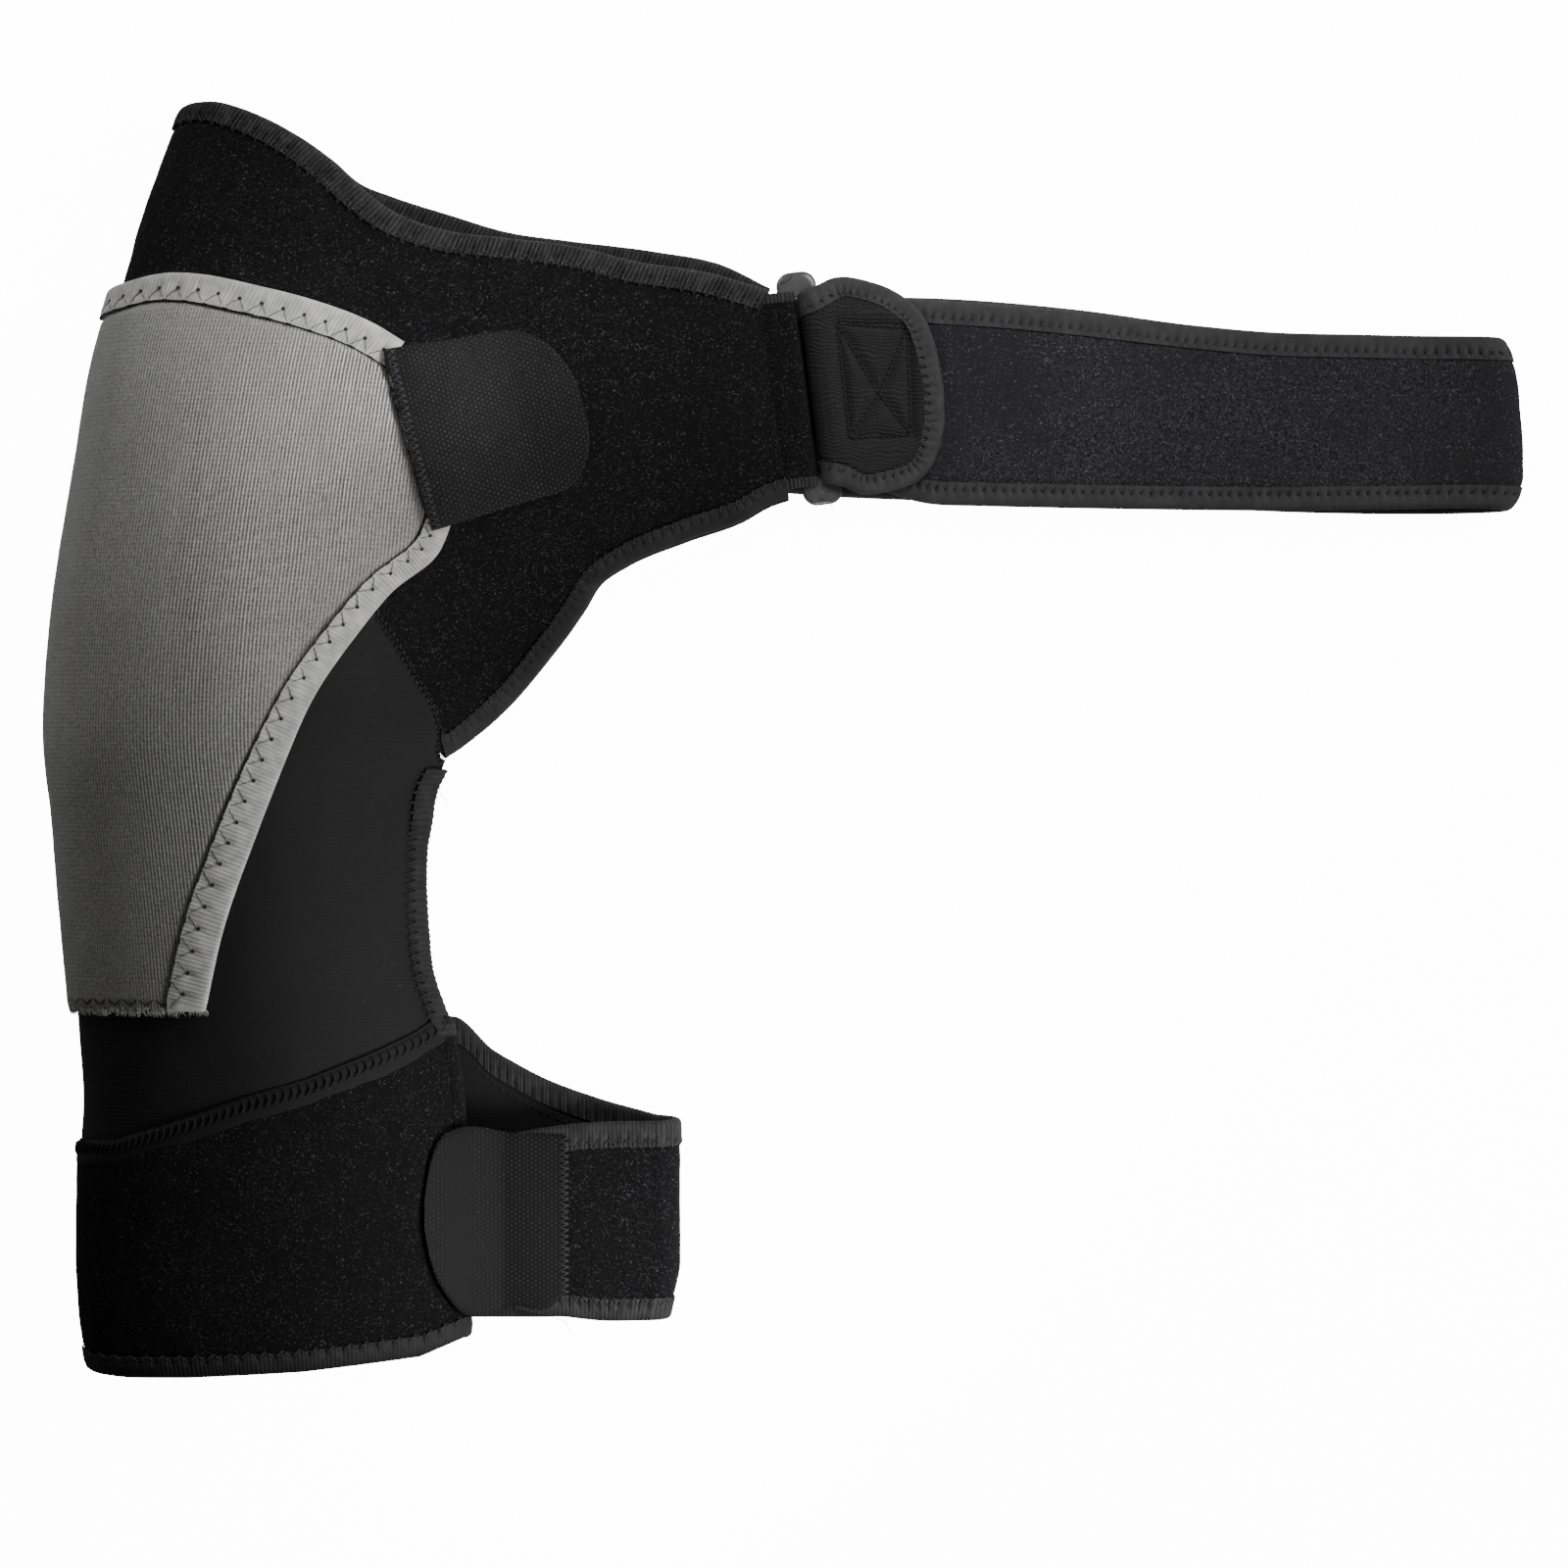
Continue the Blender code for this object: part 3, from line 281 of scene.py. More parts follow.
def tubeness(y):
    """One where the sheet closes into the sleeve, nought in the wings."""
    return ease((45 - y) / 55)


def back_height(x, y):
    """How far the back's outer face lies above the floor."""
    under_cover = 0.5 + 4.5 * (1 - ease((x + 85) / 55))
    return 1.7 + (under_cover - 1.7) * ease((y + 150) / 34)


def section(w, y):
    """The outer face of the sheet: a quarter ellipse up from the fold, then an eased fall to the right edge."""
    left = read(FOLD, 1, y)
    crest = read(FOLD, 2, y)
    side = read(FOLD, 3, y)
    right = read(RIGHT, 1, y)
    end = read(RIGHT, 2, y)
    tube = tubeness(y)
    bend = np.where(w > 0, FRONT_BEND, BACK_BEND)
    turn = np.clip(np.abs(w) / bend, 0, np.pi / 2)
    out = bend * (1 - np.cos(turn)) + np.maximum(np.abs(w) - bend * np.pi / 2, 0)
    x = left + out
    reach = right - left - NOSE * (1 - np.sin(NOSE_FROM)) * tube
    q = np.clip((out - FRONT_BEND) / (reach - FRONT_BEND), 0, 1.2)
    fall = (1 - tube) * (1 - np.cos(np.pi * np.minimum(q, 1))) / 2 + tube * q * q
    front = side + (crest - side) * np.sin(turn) - (crest - end) * fall
    floor = back_height(x, y)
    shut = right - left - NOSE * (1 - np.sin(NOSE_TO))
    r = np.clip((out - shut + 42) / 42, 0, 1.1)
    lift = tube * (SEAM_HIGH + NOSE * np.cos(NOSE_TO) - floor) * r * r
    back = floor + (side - floor) * (1 - np.sin(turn)) + lift
    return vectors(x, y, np.where(w > 0, front, back))


def half_round(y, sign):
    """How far the sheet runs from the fold to the nose of the seam, on the front or, for a negative sign, the back."""
    bend, turn = (FRONT_BEND, NOSE_FROM) if sign > 0 else (BACK_BEND, NOSE_TO)
    return bend * (np.pi / 2 - 1) + read(RIGHT, 1, y) - read(FOLD, 1, y) - NOSE * (1 - np.sin(turn))


def tube_surface(f, y):
    """The closed sleeve's outer face: f from 0 to 1 on the front, to 2 round the seam, to 3 on the back."""
    f, y = np.broadcast_arrays(np.asarray(f, float) % 3, np.asarray(y, float))
    w = np.where(f <= 1, np.minimum(f, 1) * half_round(y, 1), -(3 - np.maximum(f, 2)) * half_round(y, -1))
    flat = section(np.where(np.abs(w) < 1e-9, 1e-9, w), y)
    turn = NOSE_FROM + (NOSE_TO - NOSE_FROM) * np.clip(f - 1, 0, 1)
    tip = read(RIGHT, 1, y) - NOSE
    nose = vectors(tip + NOSE * np.sin(turn), y, SEAM_HIGH + NOSE * np.cos(turn))
    return np.where(((f > 1) & (f < 2))[..., None], nose, flat)


def wall(surface, a, b, off):
    """The surface's point at a and b, moved off along its outward normal."""
    step = 0.02
    across = surface(a + step, b) - surface(a - step, b)
    along = surface(a, b + step) - surface(a, b - step)
    normal = unit(np.cross(across, along))
    return surface(a, b) + normal * np.asarray(off)[..., None]


def on_sheet(a, b, off):
    """A point off the folded sheet."""
    return wall(section, a, b, off)


def on_tube(a, b, off):
    """A point off the closed sleeve."""
    return wall(tube_surface, a, b, off)


def unroll(points, bend, sign):
    """Points seen from the front, as x and y, put on the sheet as w and y."""
    points = np.asarray(points, float)
    out = np.maximum(points[:, 0] - read(FOLD, 1, points[:, 1]), 0)
    w = np.where(out < bend, bend * np.arccos(np.clip(1 - out / bend, -1, 1)), bend * (np.pi / 2 - 1) + out)
    return vectors(sign * w, points[:, 1])


def run_of(points):
    """How far along a polyline each of its points lies."""
    return np.concatenate([[0], np.cumsum(np.linalg.norm(np.diff(points, axis=0), axis=-1))])


def smooth_line(points, n):
    """n points evenly spaced along a smooth curve through the given ones."""
    points = np.asarray(points, float)
    run = run_of(points)
    fine = np.linspace(0, run[-1], 12 * len(points) + n)
    curve = np.stack([spline(run, points[:, k], fine) for k in range(points.shape[1])], axis=1)
    run = run_of(curve)
    at = np.linspace(0, run[-1], n)
    return np.stack([np.interp(at, run, curve[:, k]) for k in range(curve.shape[1])], axis=1)


def inset(points, by):
    """A polyline moved to its right hand by the given distance."""
    step = unit(np.gradient(points, axis=0))
    return points + vectors(step[:, 1], -step[:, 0]) * np.reshape(by, (-1, 1))


def joined(halves):
    """A line from the back's end to the fold and on to the front's, from the two that start at the fold."""
    back, front = halves
    return np.concatenate([back[:0:-1], front])


def at_shares(line, share):
    """Points at shares of the way along a polyline's numbering."""
    at = np.asarray(share) * (len(line) - 1)
    return np.stack([np.interp(at, np.arange(len(line)), line[:, k]) for k in range(line.shape[1])], axis=-1)


def crowded(n, pull):
    """n shares from nought to one, closer together near both ends: t less a sine of one whole turn."""
    t = np.linspace(0, 1, n)
    return t - pull * np.sin(2 * np.pi * t) / (2 * np.pi)


def station_of(points, sign):
    """Where points seen from the front lie round the closed sleeve, as f."""
    at = unroll(points, FRONT_BEND if sign > 0 else BACK_BEND, 1)
    f = at[:, 0] / half_round(at[:, 1], sign)
    return f if sign > 0 else 3 - f


def seam_line(points, fold_y, nose_y):
    """A line round the closed sleeve as y for f, the same on the back as on the front."""
    front = station_of(points, 1)
    back = station_of(points, -1)
    knots = np.concatenate([[0], front, [1, 2], back[::-1], [3]])
    ys = np.concatenate([[fold_y], points[:, 1], [nose_y, nose_y], points[::-1, 1], [fold_y]])
    return lambda f: np.interp(f % 3, knots, ys)


def sheet_point(f, y, sign):
    """The w of a station of the sleeve, where the sheet goes on above it."""
    return sign * (f if sign > 0 else 3 - f) * half_round(y, sign)


ARMHOLE_SEAM = seam_line(ARMHOLE, 134.5, -9.5)
CUFF_SEAM = seam_line(CUFF_TOP, -170.5, -118.0)
CUFF_MOUTH = seam_line(CUFF_FOOT, -266.0, -254.0)


# Meshes

def corners(grid, around):
    """The four corners of each cell of a grid of numbers or points, closed round its columns where asked."""
    if around:
        grid = np.concatenate([grid, grid[:, :1]], axis=1)
    cells = np.stack([grid[:-1, :-1], grid[1:, :-1], grid[1:, 1:], grid[:-1, 1:]], axis=2)
    return cells.reshape(-1, *cells.shape[2:])


def put_mesh(name, points, quads, uv, finishes, side=None):
    """An object from whole arrays: points on the tables' axes, quads of their numbers and each corner's own cloth
    coordinates in millimetres. The sum of the cells' signed volumes tells which way the faces have to turn. What would
    go into the floor is pressed flat just above it, closer to it by an exponential of the depth."""
    points = points.reshape(-1, 3) - ORIGIN
    high = points[:, 2]
    points[:, 2] = np.where(high < 0.2, 0.2 * np.exp(np.minimum(high - 0.2, 0) / 0.5), high)
    points = points * MM
    a, b, c, d = (points[quads[:, k]] for k in range(4))
    if np.einsum("ij,ij->", a, np.cross(b, c)) + np.einsum("ij,ij->", a, np.cross(c, d)) < 0:
        quads, uv = quads[:, ::-1], uv[:, ::-1]
    mesh = bpy.data.meshes.new(name)
    mesh.vertices.add(len(points))
    mesh.vertices.foreach_set("co", points.astype(np.float32).ravel())
    mesh.loops.add(quads.size)
    mesh.loops.foreach_set("vertex_index", quads.astype(np.int32).ravel())
    mesh.polygons.add(len(quads))
    mesh.polygons.foreach_set("loop_start", np.arange(0, quads.size, 4, dtype=np.int32))
    mesh.polygons.foreach_set("use_smooth", np.ones(len(quads), bool))
    if side is not None:
        mesh.polygons.foreach_set("material_index", side.astype(np.int32))
    cloth = mesh.uv_layers.new(name="cloth")
    cloth.data.foreach_set("uv", (uv * MM).astype(np.float32).ravel())
    mesh.update(calc_edges=True)
    mesh.validate()
    mesh.set_sharp_from_angle(angle=1.0)
    for finish in finishes:
        mesh.materials.append(bpy.data.materials[finish])
    made = bpy.data.objects.new(name, mesh)
    bpy.context.scene.collection.objects.link(made)
    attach(made, "root")
    if name in STANDS_FOR:
        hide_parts(STANDS_FOR[name])
    return made


def shell(name, outer, inner, cloth, finishes, around=False):
    """A closed wall between two grids of points, with its rims shut. The second finish is the inner face's."""
    rows, columns = outer.shape[:2]
    index = np.arange(rows * columns).reshape(rows, columns)
    under = index + rows * columns
    cloth_cells = corners(cloth, False)
    if around:
        index, under = (np.concatenate([k, k[:, :1]], axis=1) for k in (index, under))
    top, low = corners(index, False), corners(under, False)[:, ::-1]
    quads, uvs = [top, low], [cloth_cells, cloth_cells[:, ::-1]]
    rims = [(index[0][::-1], under[0][::-1], cloth[0][::-1]), (index[-1], under[-1], cloth[-1])]
    if not around:
        rims += [(index[:, 0], under[:, 0], cloth[:, 0]), (index[::-1, -1], under[::-1, -1], cloth[::-1, -1])]
    for high, deep, seam in rims:
        quads.append(np.stack([high[:-1], deep[:-1], deep[1:], high[1:]], axis=1))
        uvs.append(np.stack([seam[:-1], seam[:-1], seam[1:], seam[1:]], axis=1))
    side = np.zeros(sum(len(q) for q in quads))
    if len(finishes) > 1:
        side[len(top):len(top) + len(low)] = 1
    points = np.concatenate([outer.reshape(-1, 3), inner.reshape(-1, 3)])
    made = put_mesh(name, points, np.concatenate(quads), np.concatenate(uvs), finishes, side)


def end_cap(ring):
    """Quads over the end of a ring of an even number of points, each between two pairs that face each other."""
    half = len(ring) // 2
    far = ring[::-1]
    return np.stack([ring[:half - 1], ring[1:half], far[1:half], far[:half - 1]], axis=1)


def sweep(name, rings, cloth, finish, closed=False):
    """A closed body from rings of section points, one ring for each station."""
    stations, count = rings.shape[:2]
    index = np.arange(stations * count).reshape(stations, count)
    if closed:
        index = np.concatenate([index, index[:1]])
        cloth = np.concatenate([cloth, cloth[-1:] + (cloth[1:2] - cloth[:1])])
    cells = corners(index, True)
    wrapped = np.concatenate([cloth, cloth[:, -1:] + (cloth[:, -1:] - cloth[:, -2:-1])], axis=1)
    quads, uvs = [cells], [corners(wrapped, False)]
    if not closed:
        for ring, seam in ((index[0][::-1], cloth[0][::-1]), (index[-1], cloth[-1])):
            quads.append(end_cap(ring))
            uvs.append(end_cap(seam))
    put_mesh(name, rings, np.concatenate(quads), np.concatenate(uvs), [finish])


def threads(name, lines, normals, radius, finish):
    """Short lengths of thread, each a six-sided tube along its own line of points. The frame at a point is the line's
    direction, its cross product with the cloth's normal, and theirs. radius is one number for each point."""
    count, steps = lines.shape[:2]
    ahead = unit(np.gradient(lines, axis=1))
    across = unit(np.cross(ahead, normals[:, None, :]))
    up = np.cross(across, ahead)
    turn = np.linspace(0, 2 * np.pi, 7)[:-1]
    radius = np.broadcast_to(radius, (count, steps))[..., None, None]
    ring = across[:, :, None] * np.cos(turn)[:, None] + up[:, :, None] * np.sin(turn)[:, None]
    points = lines[:, :, None] + ring * radius
    index = np.arange(count * steps * 6).reshape(count, steps, 6)
    nexts = np.roll(index, -1, axis=2)
    body = np.stack([index[:, :-1], index[:, 1:], nexts[:, 1:], nexts[:, :-1]], axis=-1).reshape(-1, 4)
    caps = []
    for end, order in ((index[:, 0], (0, 5, 4, 1, 1, 4, 3, 2)), (index[:, -1], (1, 4, 5, 0, 2, 3, 4, 1))):
        caps.append(end[:, list(order)].reshape(-1, 4))
    quads = np.concatenate([body] + caps)
    along = np.repeat(np.arange(count * steps) % steps, 6) * 0.8
    round_it = np.tile(np.arange(6), count * steps) * 0.4
    flat = np.stack([along, round_it], axis=-1)
    put_mesh(name, points, quads, flat[quads], [finish])


def stitch_lines(start, end, normal, lift, sink, steps=5):
    """Lines of thread from start points to end points: straight along the cloth, bowed up by lift as a sine, and both
    ends drawn down by sink into their needle holes."""
    t = np.linspace(0, 1, steps)[None, :, None]
    bow = lift * np.sin(np.pi * t) - sink * np.abs(2 * t - 1) ** 4
    return start[:, None] * (1 - t) + end[:, None] * t + normal[:, None] * bow


def zigzag(name, place, edge, inner, pitch, near, far, off, radius, finish, lift=0.35, skip=0.0, face=1):
    """Zigzag stitches along a tape. Near ends lie a whole pitch apart, far ends half a pitch on, each at its share of
    the way from the tape's edge to its inner line. face is -1 for the cloth's under side."""
    run = run_of(place(*edge.T, 0))
    count = max(1, round((run[-1] - 2 * skip) / pitch))
    half = skip + np.arange(2 * count + 1) * (run[-1] - 2 * skip) / (2 * count)
    share = np.interp(half, run, np.linspace(0, 1, len(run)))
    depth = np.where(np.arange(2 * count + 1) % 2 == 0, near, far)[:, None]
    on_edge, on_inner = at_shares(edge, share), at_shares(inner, share)
    at = on_edge + (on_inner - on_edge) * depth
    low = place(*at.T, off)
    high = place(*at.T, off + face)
    normal = high - low
    lines = stitch_lines(low[:-1], low[1:], (normal[:-1] + normal[1:]) / 2, lift, 0.5)
    threads(name, lines, normal[:-1], radius=radius, finish=finish)
    return low[1::2], normal[1::2]


def thread_line(name, place, line, off, radius, pitch, finish):
    """One thread laid along a seam, pinched where each stitch holds it: its radius swells as a cosine of the run."""
    base = place(*line.T, off)
    up = place(*line.T, off + 1) - base
    run = run_of(base)
    wave = np.cos(2 * np.pi * run / pitch)
    base = base + up * 0.12 * wave[:, None]
    ahead = unit(np.gradient(base, axis=0))
    across = unit(np.cross(ahead, up))
    turn = np.linspace(0, 2 * np.pi, 7)[:-1]
    thick = radius * (1 + 0.35 * np.clip(wave, 0, 1) ** 6)
    rings = base[:, None] + (across[:, None] * np.cos(turn)[:, None] + up[:, None] * np.sin(turn)[:, None]) \
        * thick[:, None, None]
    cloth = vectors(run[:, None], turn)
    sweep(name, rings, cloth, finish)


def knots(name, centres, normals, radius, finish):
    """Small domes where the needle went in: six-sided rings that close over a point of the cloth."""
    rise = np.array([-0.6, 0.1, 0.45, 0.6])
    wide = np.array([0.9, 1.0, 0.7, 0.15]) * radius
    lines = centres[:, None] + normals[:, None] * (rise * radius)[:, None]
    side = unit(np.cross(normals, (0.31, 0.9, 0.3)))
    threads(name, lines, side, radius=wide[None, :], finish=finish)


def tape(name, place, edge, inner, high, low, finish, closed=False, rib=(1.9, 0.12), press=None, seed=1):
    """A folded edge tape: at each station a flat top from the inner line, a half circle over the edge and a flat
    underside. Its cloth coordinates run so that each rib is RIB long. rib is the pitch and depth of a cosine along
    the tape that swells the whole section. press is the pitch, share, spread and depth of the dimples that stitches
    make: a Gaussian across times a sharp cosine along."""
    edge_at = place(*edge.T, 0)
    inner_at = place(*inner.T, 0)
    width = np.linalg.norm(inner_at - edge_at, axis=1)
    run = run_of(edge_at)
    half, middle = (high - low) / 2, (high + low) / 2
    bend = np.minimum(half / width, 0.6)[:, None]
    t = np.linspace(0, 1, 8)
    turn = np.linspace(0, np.pi, 8)[1:-1]
    top = 1 - (1 - bend) * t
    arc = bend * (1 - np.sin(turn))
    under = 1 - (1 - bend) * np.linspace(1, 0, 4)
    share = np.concatenate([top, arc, under], axis=1)
    level = np.concatenate([1 + 0.10 * np.sin(np.pi * t), np.cos(turn), np.full(4, -1.0)])
    pitch, depth = rib
    uneven = ripple(run, 0, 26, seed)
    wander = run + 0.25 * pitch * uneven
    swell = depth * np.cos(2 * np.pi * wander / pitch) * (0.75 + 0.25 * ripple(run, 0, 9, seed + 1))
    off = middle + level * (half + swell[:, None] + 0.12 * uneven[:, None])
    ribs = wander * RIB / pitch
    if press:
        pitch, centre, spread, depth = press
        count = max(1, round(run[-1] / pitch))
        beat = np.clip(0.5 - 0.5 * np.cos(2 * np.pi * run * count / run[-1]), 0, 1) ** 4
        dimple = depth * bell(share - centre, spread) * beat[:, None]
        off = off - dimple * np.sign(level) * (np.abs(level) > 0.9)
    at = edge[:, None] + (inner - edge)[:, None] * share[..., None]
    rings = place(at[..., 0], at[..., 1], off)
    around = run_of(vectors(share[0] * width[0], level * half))
    sweep(name, rings, vectors(ribs[:, None], around), finish, closed)


# Materials

SOFT = {"interpolation_type": "SMOOTHSTEP"}
BLEND = {"out": 2, "data_type": "RGBA"}
TIMES = {"operation": "MULTIPLY"}
TIMES_ADD = {"operation": "MULTIPLY_ADD"}


def add_node(tree, kind, inputs=(), out=0, **settings):
    """Adds a shader node with its settings and links, and gives back one of its outputs. Each input is a value, or the
    socket that feeds it."""
    made = tree.nodes.new("ShaderNode" + kind)
    for key, value in settings.items():
        setattr(made, key, value)
    for key, value in dict(inputs).items():
        if isinstance(value, bpy.types.NodeSocket):
            tree.links.new(value, made.inputs[key])
        else:
            made.inputs[key].default_value = value
    return made.outputs[out] if made.outputs else None


def shade(colour, share):
    """A colour made darker or lighter by a share, with its alpha."""
    return (*(share * part for part in colour), 1.0)


def new_material(name):
    """An empty node material with its shader, and the sockets of a point's place on the object and on its cloth."""
    material = bpy.data.materials.new(name)
    material.use_nodes = True
    tree = material.node_tree
    tree.nodes.clear()
    shader = add_node(tree, "BsdfPrincipled").node
    add_node(tree, "OutputMaterial", {"Surface": shader.outputs[0]})
    return tree, shader, add_node(tree, "TexCoord", out="Object"), add_node(tree, "UVMap", uv_map="cloth")


def finish_shader(tree, shader, colour, height, depth_mm, roughness, sheen, sheen_rough=0.5, specular=0.3):
    """Sets a cloth's shader: its colour and relief from sockets, and what is the same all over on its own sockets."""
    tree.links.new(colour, shader.inputs["Base Color"])
    bump = add_node(tree, "Bump", {"Height": height, "Distance": depth_mm * MM, "Strength": 1.0})
    tree.links.new(bump, shader.inputs["Normal"])
    shader.inputs["Roughness"].default_value = roughness
    shader.inputs["Sheen Weight"].default_value = sheen
    shader.inputs["Sheen Roughness"].default_value = sheen_rough
    shader.inputs["Specular IOR Level"].default_value = specular


def brushed_loop_nylon(name, looks, painted_lightness):
    """Brushed nylon loop cloth, napped so that hooks hold: a matt dark pile with tiny stray fibres that catch light,
    their glints painted into the colour as lighter specks, a painted highlight. A fibre is 0.05 mm thick, too fine to
    show, so the painted glints are drawn about 0.7 mm across."""
    tree, shader, spot, _ = new_material(name)
    fine = add_node(tree, "TexNoise", {
        "Vector": spot, "Scale": 1 / looks.fleck_size, "Detail": 2.0, "Roughness": 0.6, "Distortion": 0.8,
    })
    clump, pile, wide = (
        add_node(tree, "TexNoise", {"Vector": spot, "Scale": 1 / size, "Detail": detail})
        for size, detail in ((0.0045, 2.0), (0.0016, 2.0), (0.05, 1.0)))
    line = add_node(tree, "Math", {0: clump, 1: 0.16, 2: fine}, **TIMES_ADD)
    glint = add_node(tree, "MapRange", {0: line, 1: 0.68, 2: 0.79}, **SOFT)
    # A lightness above one makes a lighter copy of the same cloth: painted light.
    dark, even, fair = (shade(looks.pile, k * painted_lightness) for k in (0.35, 0.9, 1.9))
    nap = add_node(tree, "MapRange", {0: fine, 1: 0.32, 2: 0.66}, **SOFT)
    worn = add_node(tree, "MapRange", {0: wide, 1: 0.3, 2: 0.75}, **SOFT)
    ground = add_node(tree, "Mix", {0: nap, 6: dark, 7: fair}, **BLEND)
    ground = add_node(tree, "Mix", {0: worn, 6: ground, 7: even}, **BLEND)
    # Painted highlight: where the glint mask is high the colour turns to the fleck colour, standing for stray fibres
    # that catch light.
    colour = add_node(tree, "Mix", {0: glint, 6: ground, 7: shade(looks.fleck, painted_lightness ** 0.4)}, **BLEND)
    height = add_node(tree, "Math", {0: pile, 1: 0.5, 2: fine}, **TIMES_ADD)
    finish_shader(tree, shader, colour, height, depth_mm=0.4, roughness=0.95, sheen=0.02, sheen_rough=0.4,
                  specular=0.12)


def fine_jersey(name, ground, light, rib_mm, lengthways, rough=0.8, relief=0.10, contrast=0.5, rib_tone=0.11,
                mottle_mm=1.6, wide_tone=0.3, specular=0.3, lint=None, wave_mm=0.0):
    """Knitted jersey on foam: smooth, with fine ribs of loops along the cloth, a faint mottle of uneven yarn and, on
    black, a few bits of lint."""
    tree, shader, spot, cloth = new_material(name)
    split = add_node(tree, "SeparateXYZ", {0: cloth}).node.outputs
    across, along = (split[k] for k in ((0, 1) if lengthways else (1, 0)))
    if wave_mm:
        bend = add_node(tree, "TexNoise", {"Vector": spot, "Scale": 1 / 0.011, "Detail": 1.0})
        across = add_node(tree, "Math", {0: bend, 1: wave_mm * MM, 2: across}, **TIMES_ADD)
    turns = [
        add_node(tree, "Math", {0: way, 1: 2 * np.pi / (size * MM)}, **TIMES)
        for way, size in ((across, rib_mm), (along, 1.2 * rib_mm))]
    rib, loop = (add_node(tree, "Math", {0: turn}, operation="SINE") for turn in turns)
    mottle, wide = (
        add_node(tree, "TexNoise", {"Vector": spot, "Scale": 1 / size, "Detail": 2.0})
        for size in (mottle_mm * MM, 0.035))
    weave = add_node(tree, "Math", {0: loop, 1: 0.2, 2: rib}, **TIMES_ADD)
    tone = add_node(tree, "Math", {0: weave, 1: rib_tone}, **TIMES)
    for noise, share in ((mottle, 0.9), (wide, wide_tone)):
        tone = add_node(tree, "Math", {0: noise, 1: share, 2: tone}, **TIMES_ADD)
    middle = 0.45 + wide_tone / 2
    tone = add_node(tree, "MapRange", {0: tone, 1: middle - contrast, 2: middle + contrast}, **SOFT)
    colour = add_node(tree, "Mix", {0: tone, 6: ground, 7: light}, **BLEND)
    if lint:
        dust = add_node(tree, "TexNoise", {"Vector": spot, "Scale": 1 / 0.0011, "Detail": 1.0})
        dust = add_node(tree, "MapRange", {0: dust, 1: 0.76, 2: 0.84}, **SOFT)
        colour = add_node(tree, "Mix", {0: dust, 6: colour, 7: lint}, **BLEND)
    finish_shader(tree, shader, colour, weave, depth_mm=relief, roughness=rough, sheen=0.02, specular=specular)


def ribbed_tape(name, ground, light, relief, painted_rib_shade):
    """Folded stretch tape of nylon jersey: satin, with close ribs across its length, with a painted highlight on their
    crests and painted shade between them. Its coordinates count each rib as RIB long, so the painted tone follows the
    mesh's ribs."""
    tree, shader, spot, cloth = new_material(name)
    along = add_node(tree, "SeparateXYZ", {0: cloth})
    uneven = add_node(tree, "TexNoise", {"Vector": spot, "Scale": 1 / 0.006, "Detail": 2.0})
    turn = add_node(tree, "Math", {0: along, 1: 2 * np.pi / (RIB * MM)}, **TIMES)
    rib = add_node(tree, "Math", {0: turn}, operation="COSINE")
    # Painted highlight and shade: the colour lightens on each rib's crest and darkens between them, with random
    # unevenness added.
    tone = add_node(tree, "Math", {0: rib, 1: painted_rib_shade, 2: uneven}, **TIMES_ADD)
    tone = add_node(tree, "MapRange", {0: tone, 1: 0.25, 2: 0.8}, **SOFT)
    colour = add_node(tree, "Mix", {0: tone, 6: ground, 7: light}, **BLEND)
    finish_shader(tree, shader, colour, rib, depth_mm=relief, roughness=0.75, sheen=0.03)


def hook_tape(looks):
    """Woven nylon hook tape: a plain dark ground with tiny stiff hooks in rows, each a raised bead whose shine is
    painted into the colour up to six times the ground, a painted highlight. A woven stripe 10 mm wide is bare. Rows lie
    1 mm apart in truth and 1.7 mm here, so that they show."""
    tree, shader, _, cloth = new_material("hook_tape")
    mottle = add_node(tree, "TexNoise", {"Vector": cloth, "Scale": 1 / 0.0012, "Detail": 2.0})
    hooks = 0.0
    for turn in (0, np.pi / 3, 2 * np.pi / 3):
        way = (np.cos(turn) * 2 * np.pi / 0.0017, np.sin(turn) * 2 * np.pi / 0.0017, 0)
        dot = add_node(tree, "VectorMath", {0: cloth, 1: way}, "Value", operation="DOT_PRODUCT")
        row = add_node(tree, "Math", {0: dot}, operation="COSINE")
        hooks = add_node(tree, "Math", {0: row, 1: hooks}, operation="ADD")
    along = add_node(tree, "SeparateXYZ", {0: cloth})
    stripe = add_node(tree, "Math", {0: along, 1: 0.1375}, operation="ADD")
    stripe = add_node(tree, "Math", {0: stripe}, operation="ABSOLUTE")
    hook_and_painted_shine = add_node(tree, "MapRange", {0: hooks, 1: 0.2, 2: 2.4}, **SOFT)
    for value, low, high in ((stripe, 0.0042, 0.0056), (mottle, 0.25, 0.7)):
        share = add_node(tree, "MapRange", {0: value, 1: low, 2: high}, **SOFT)
        hook_and_painted_shine = add_node(tree, "Math", {0: hook_and_painted_shine, 1: share}, **TIMES)
    # Painted highlight: the hooks' beads are coloured up to six times lighter than the ground, and the same mask bumps
    # them.
    colour = add_node(tree, "Mix", {0: hook_and_painted_shine, 6: shade(looks.hook, 0.6), 7: shade(looks.hook, 6.0)}, **BLEND)
    finish_shader(tree, shader, colour, hook_and_painted_shine, depth_mm=0.35, roughness=0.68, sheen=0.02, sheen_rough=0.5,
                  specular=0.2)


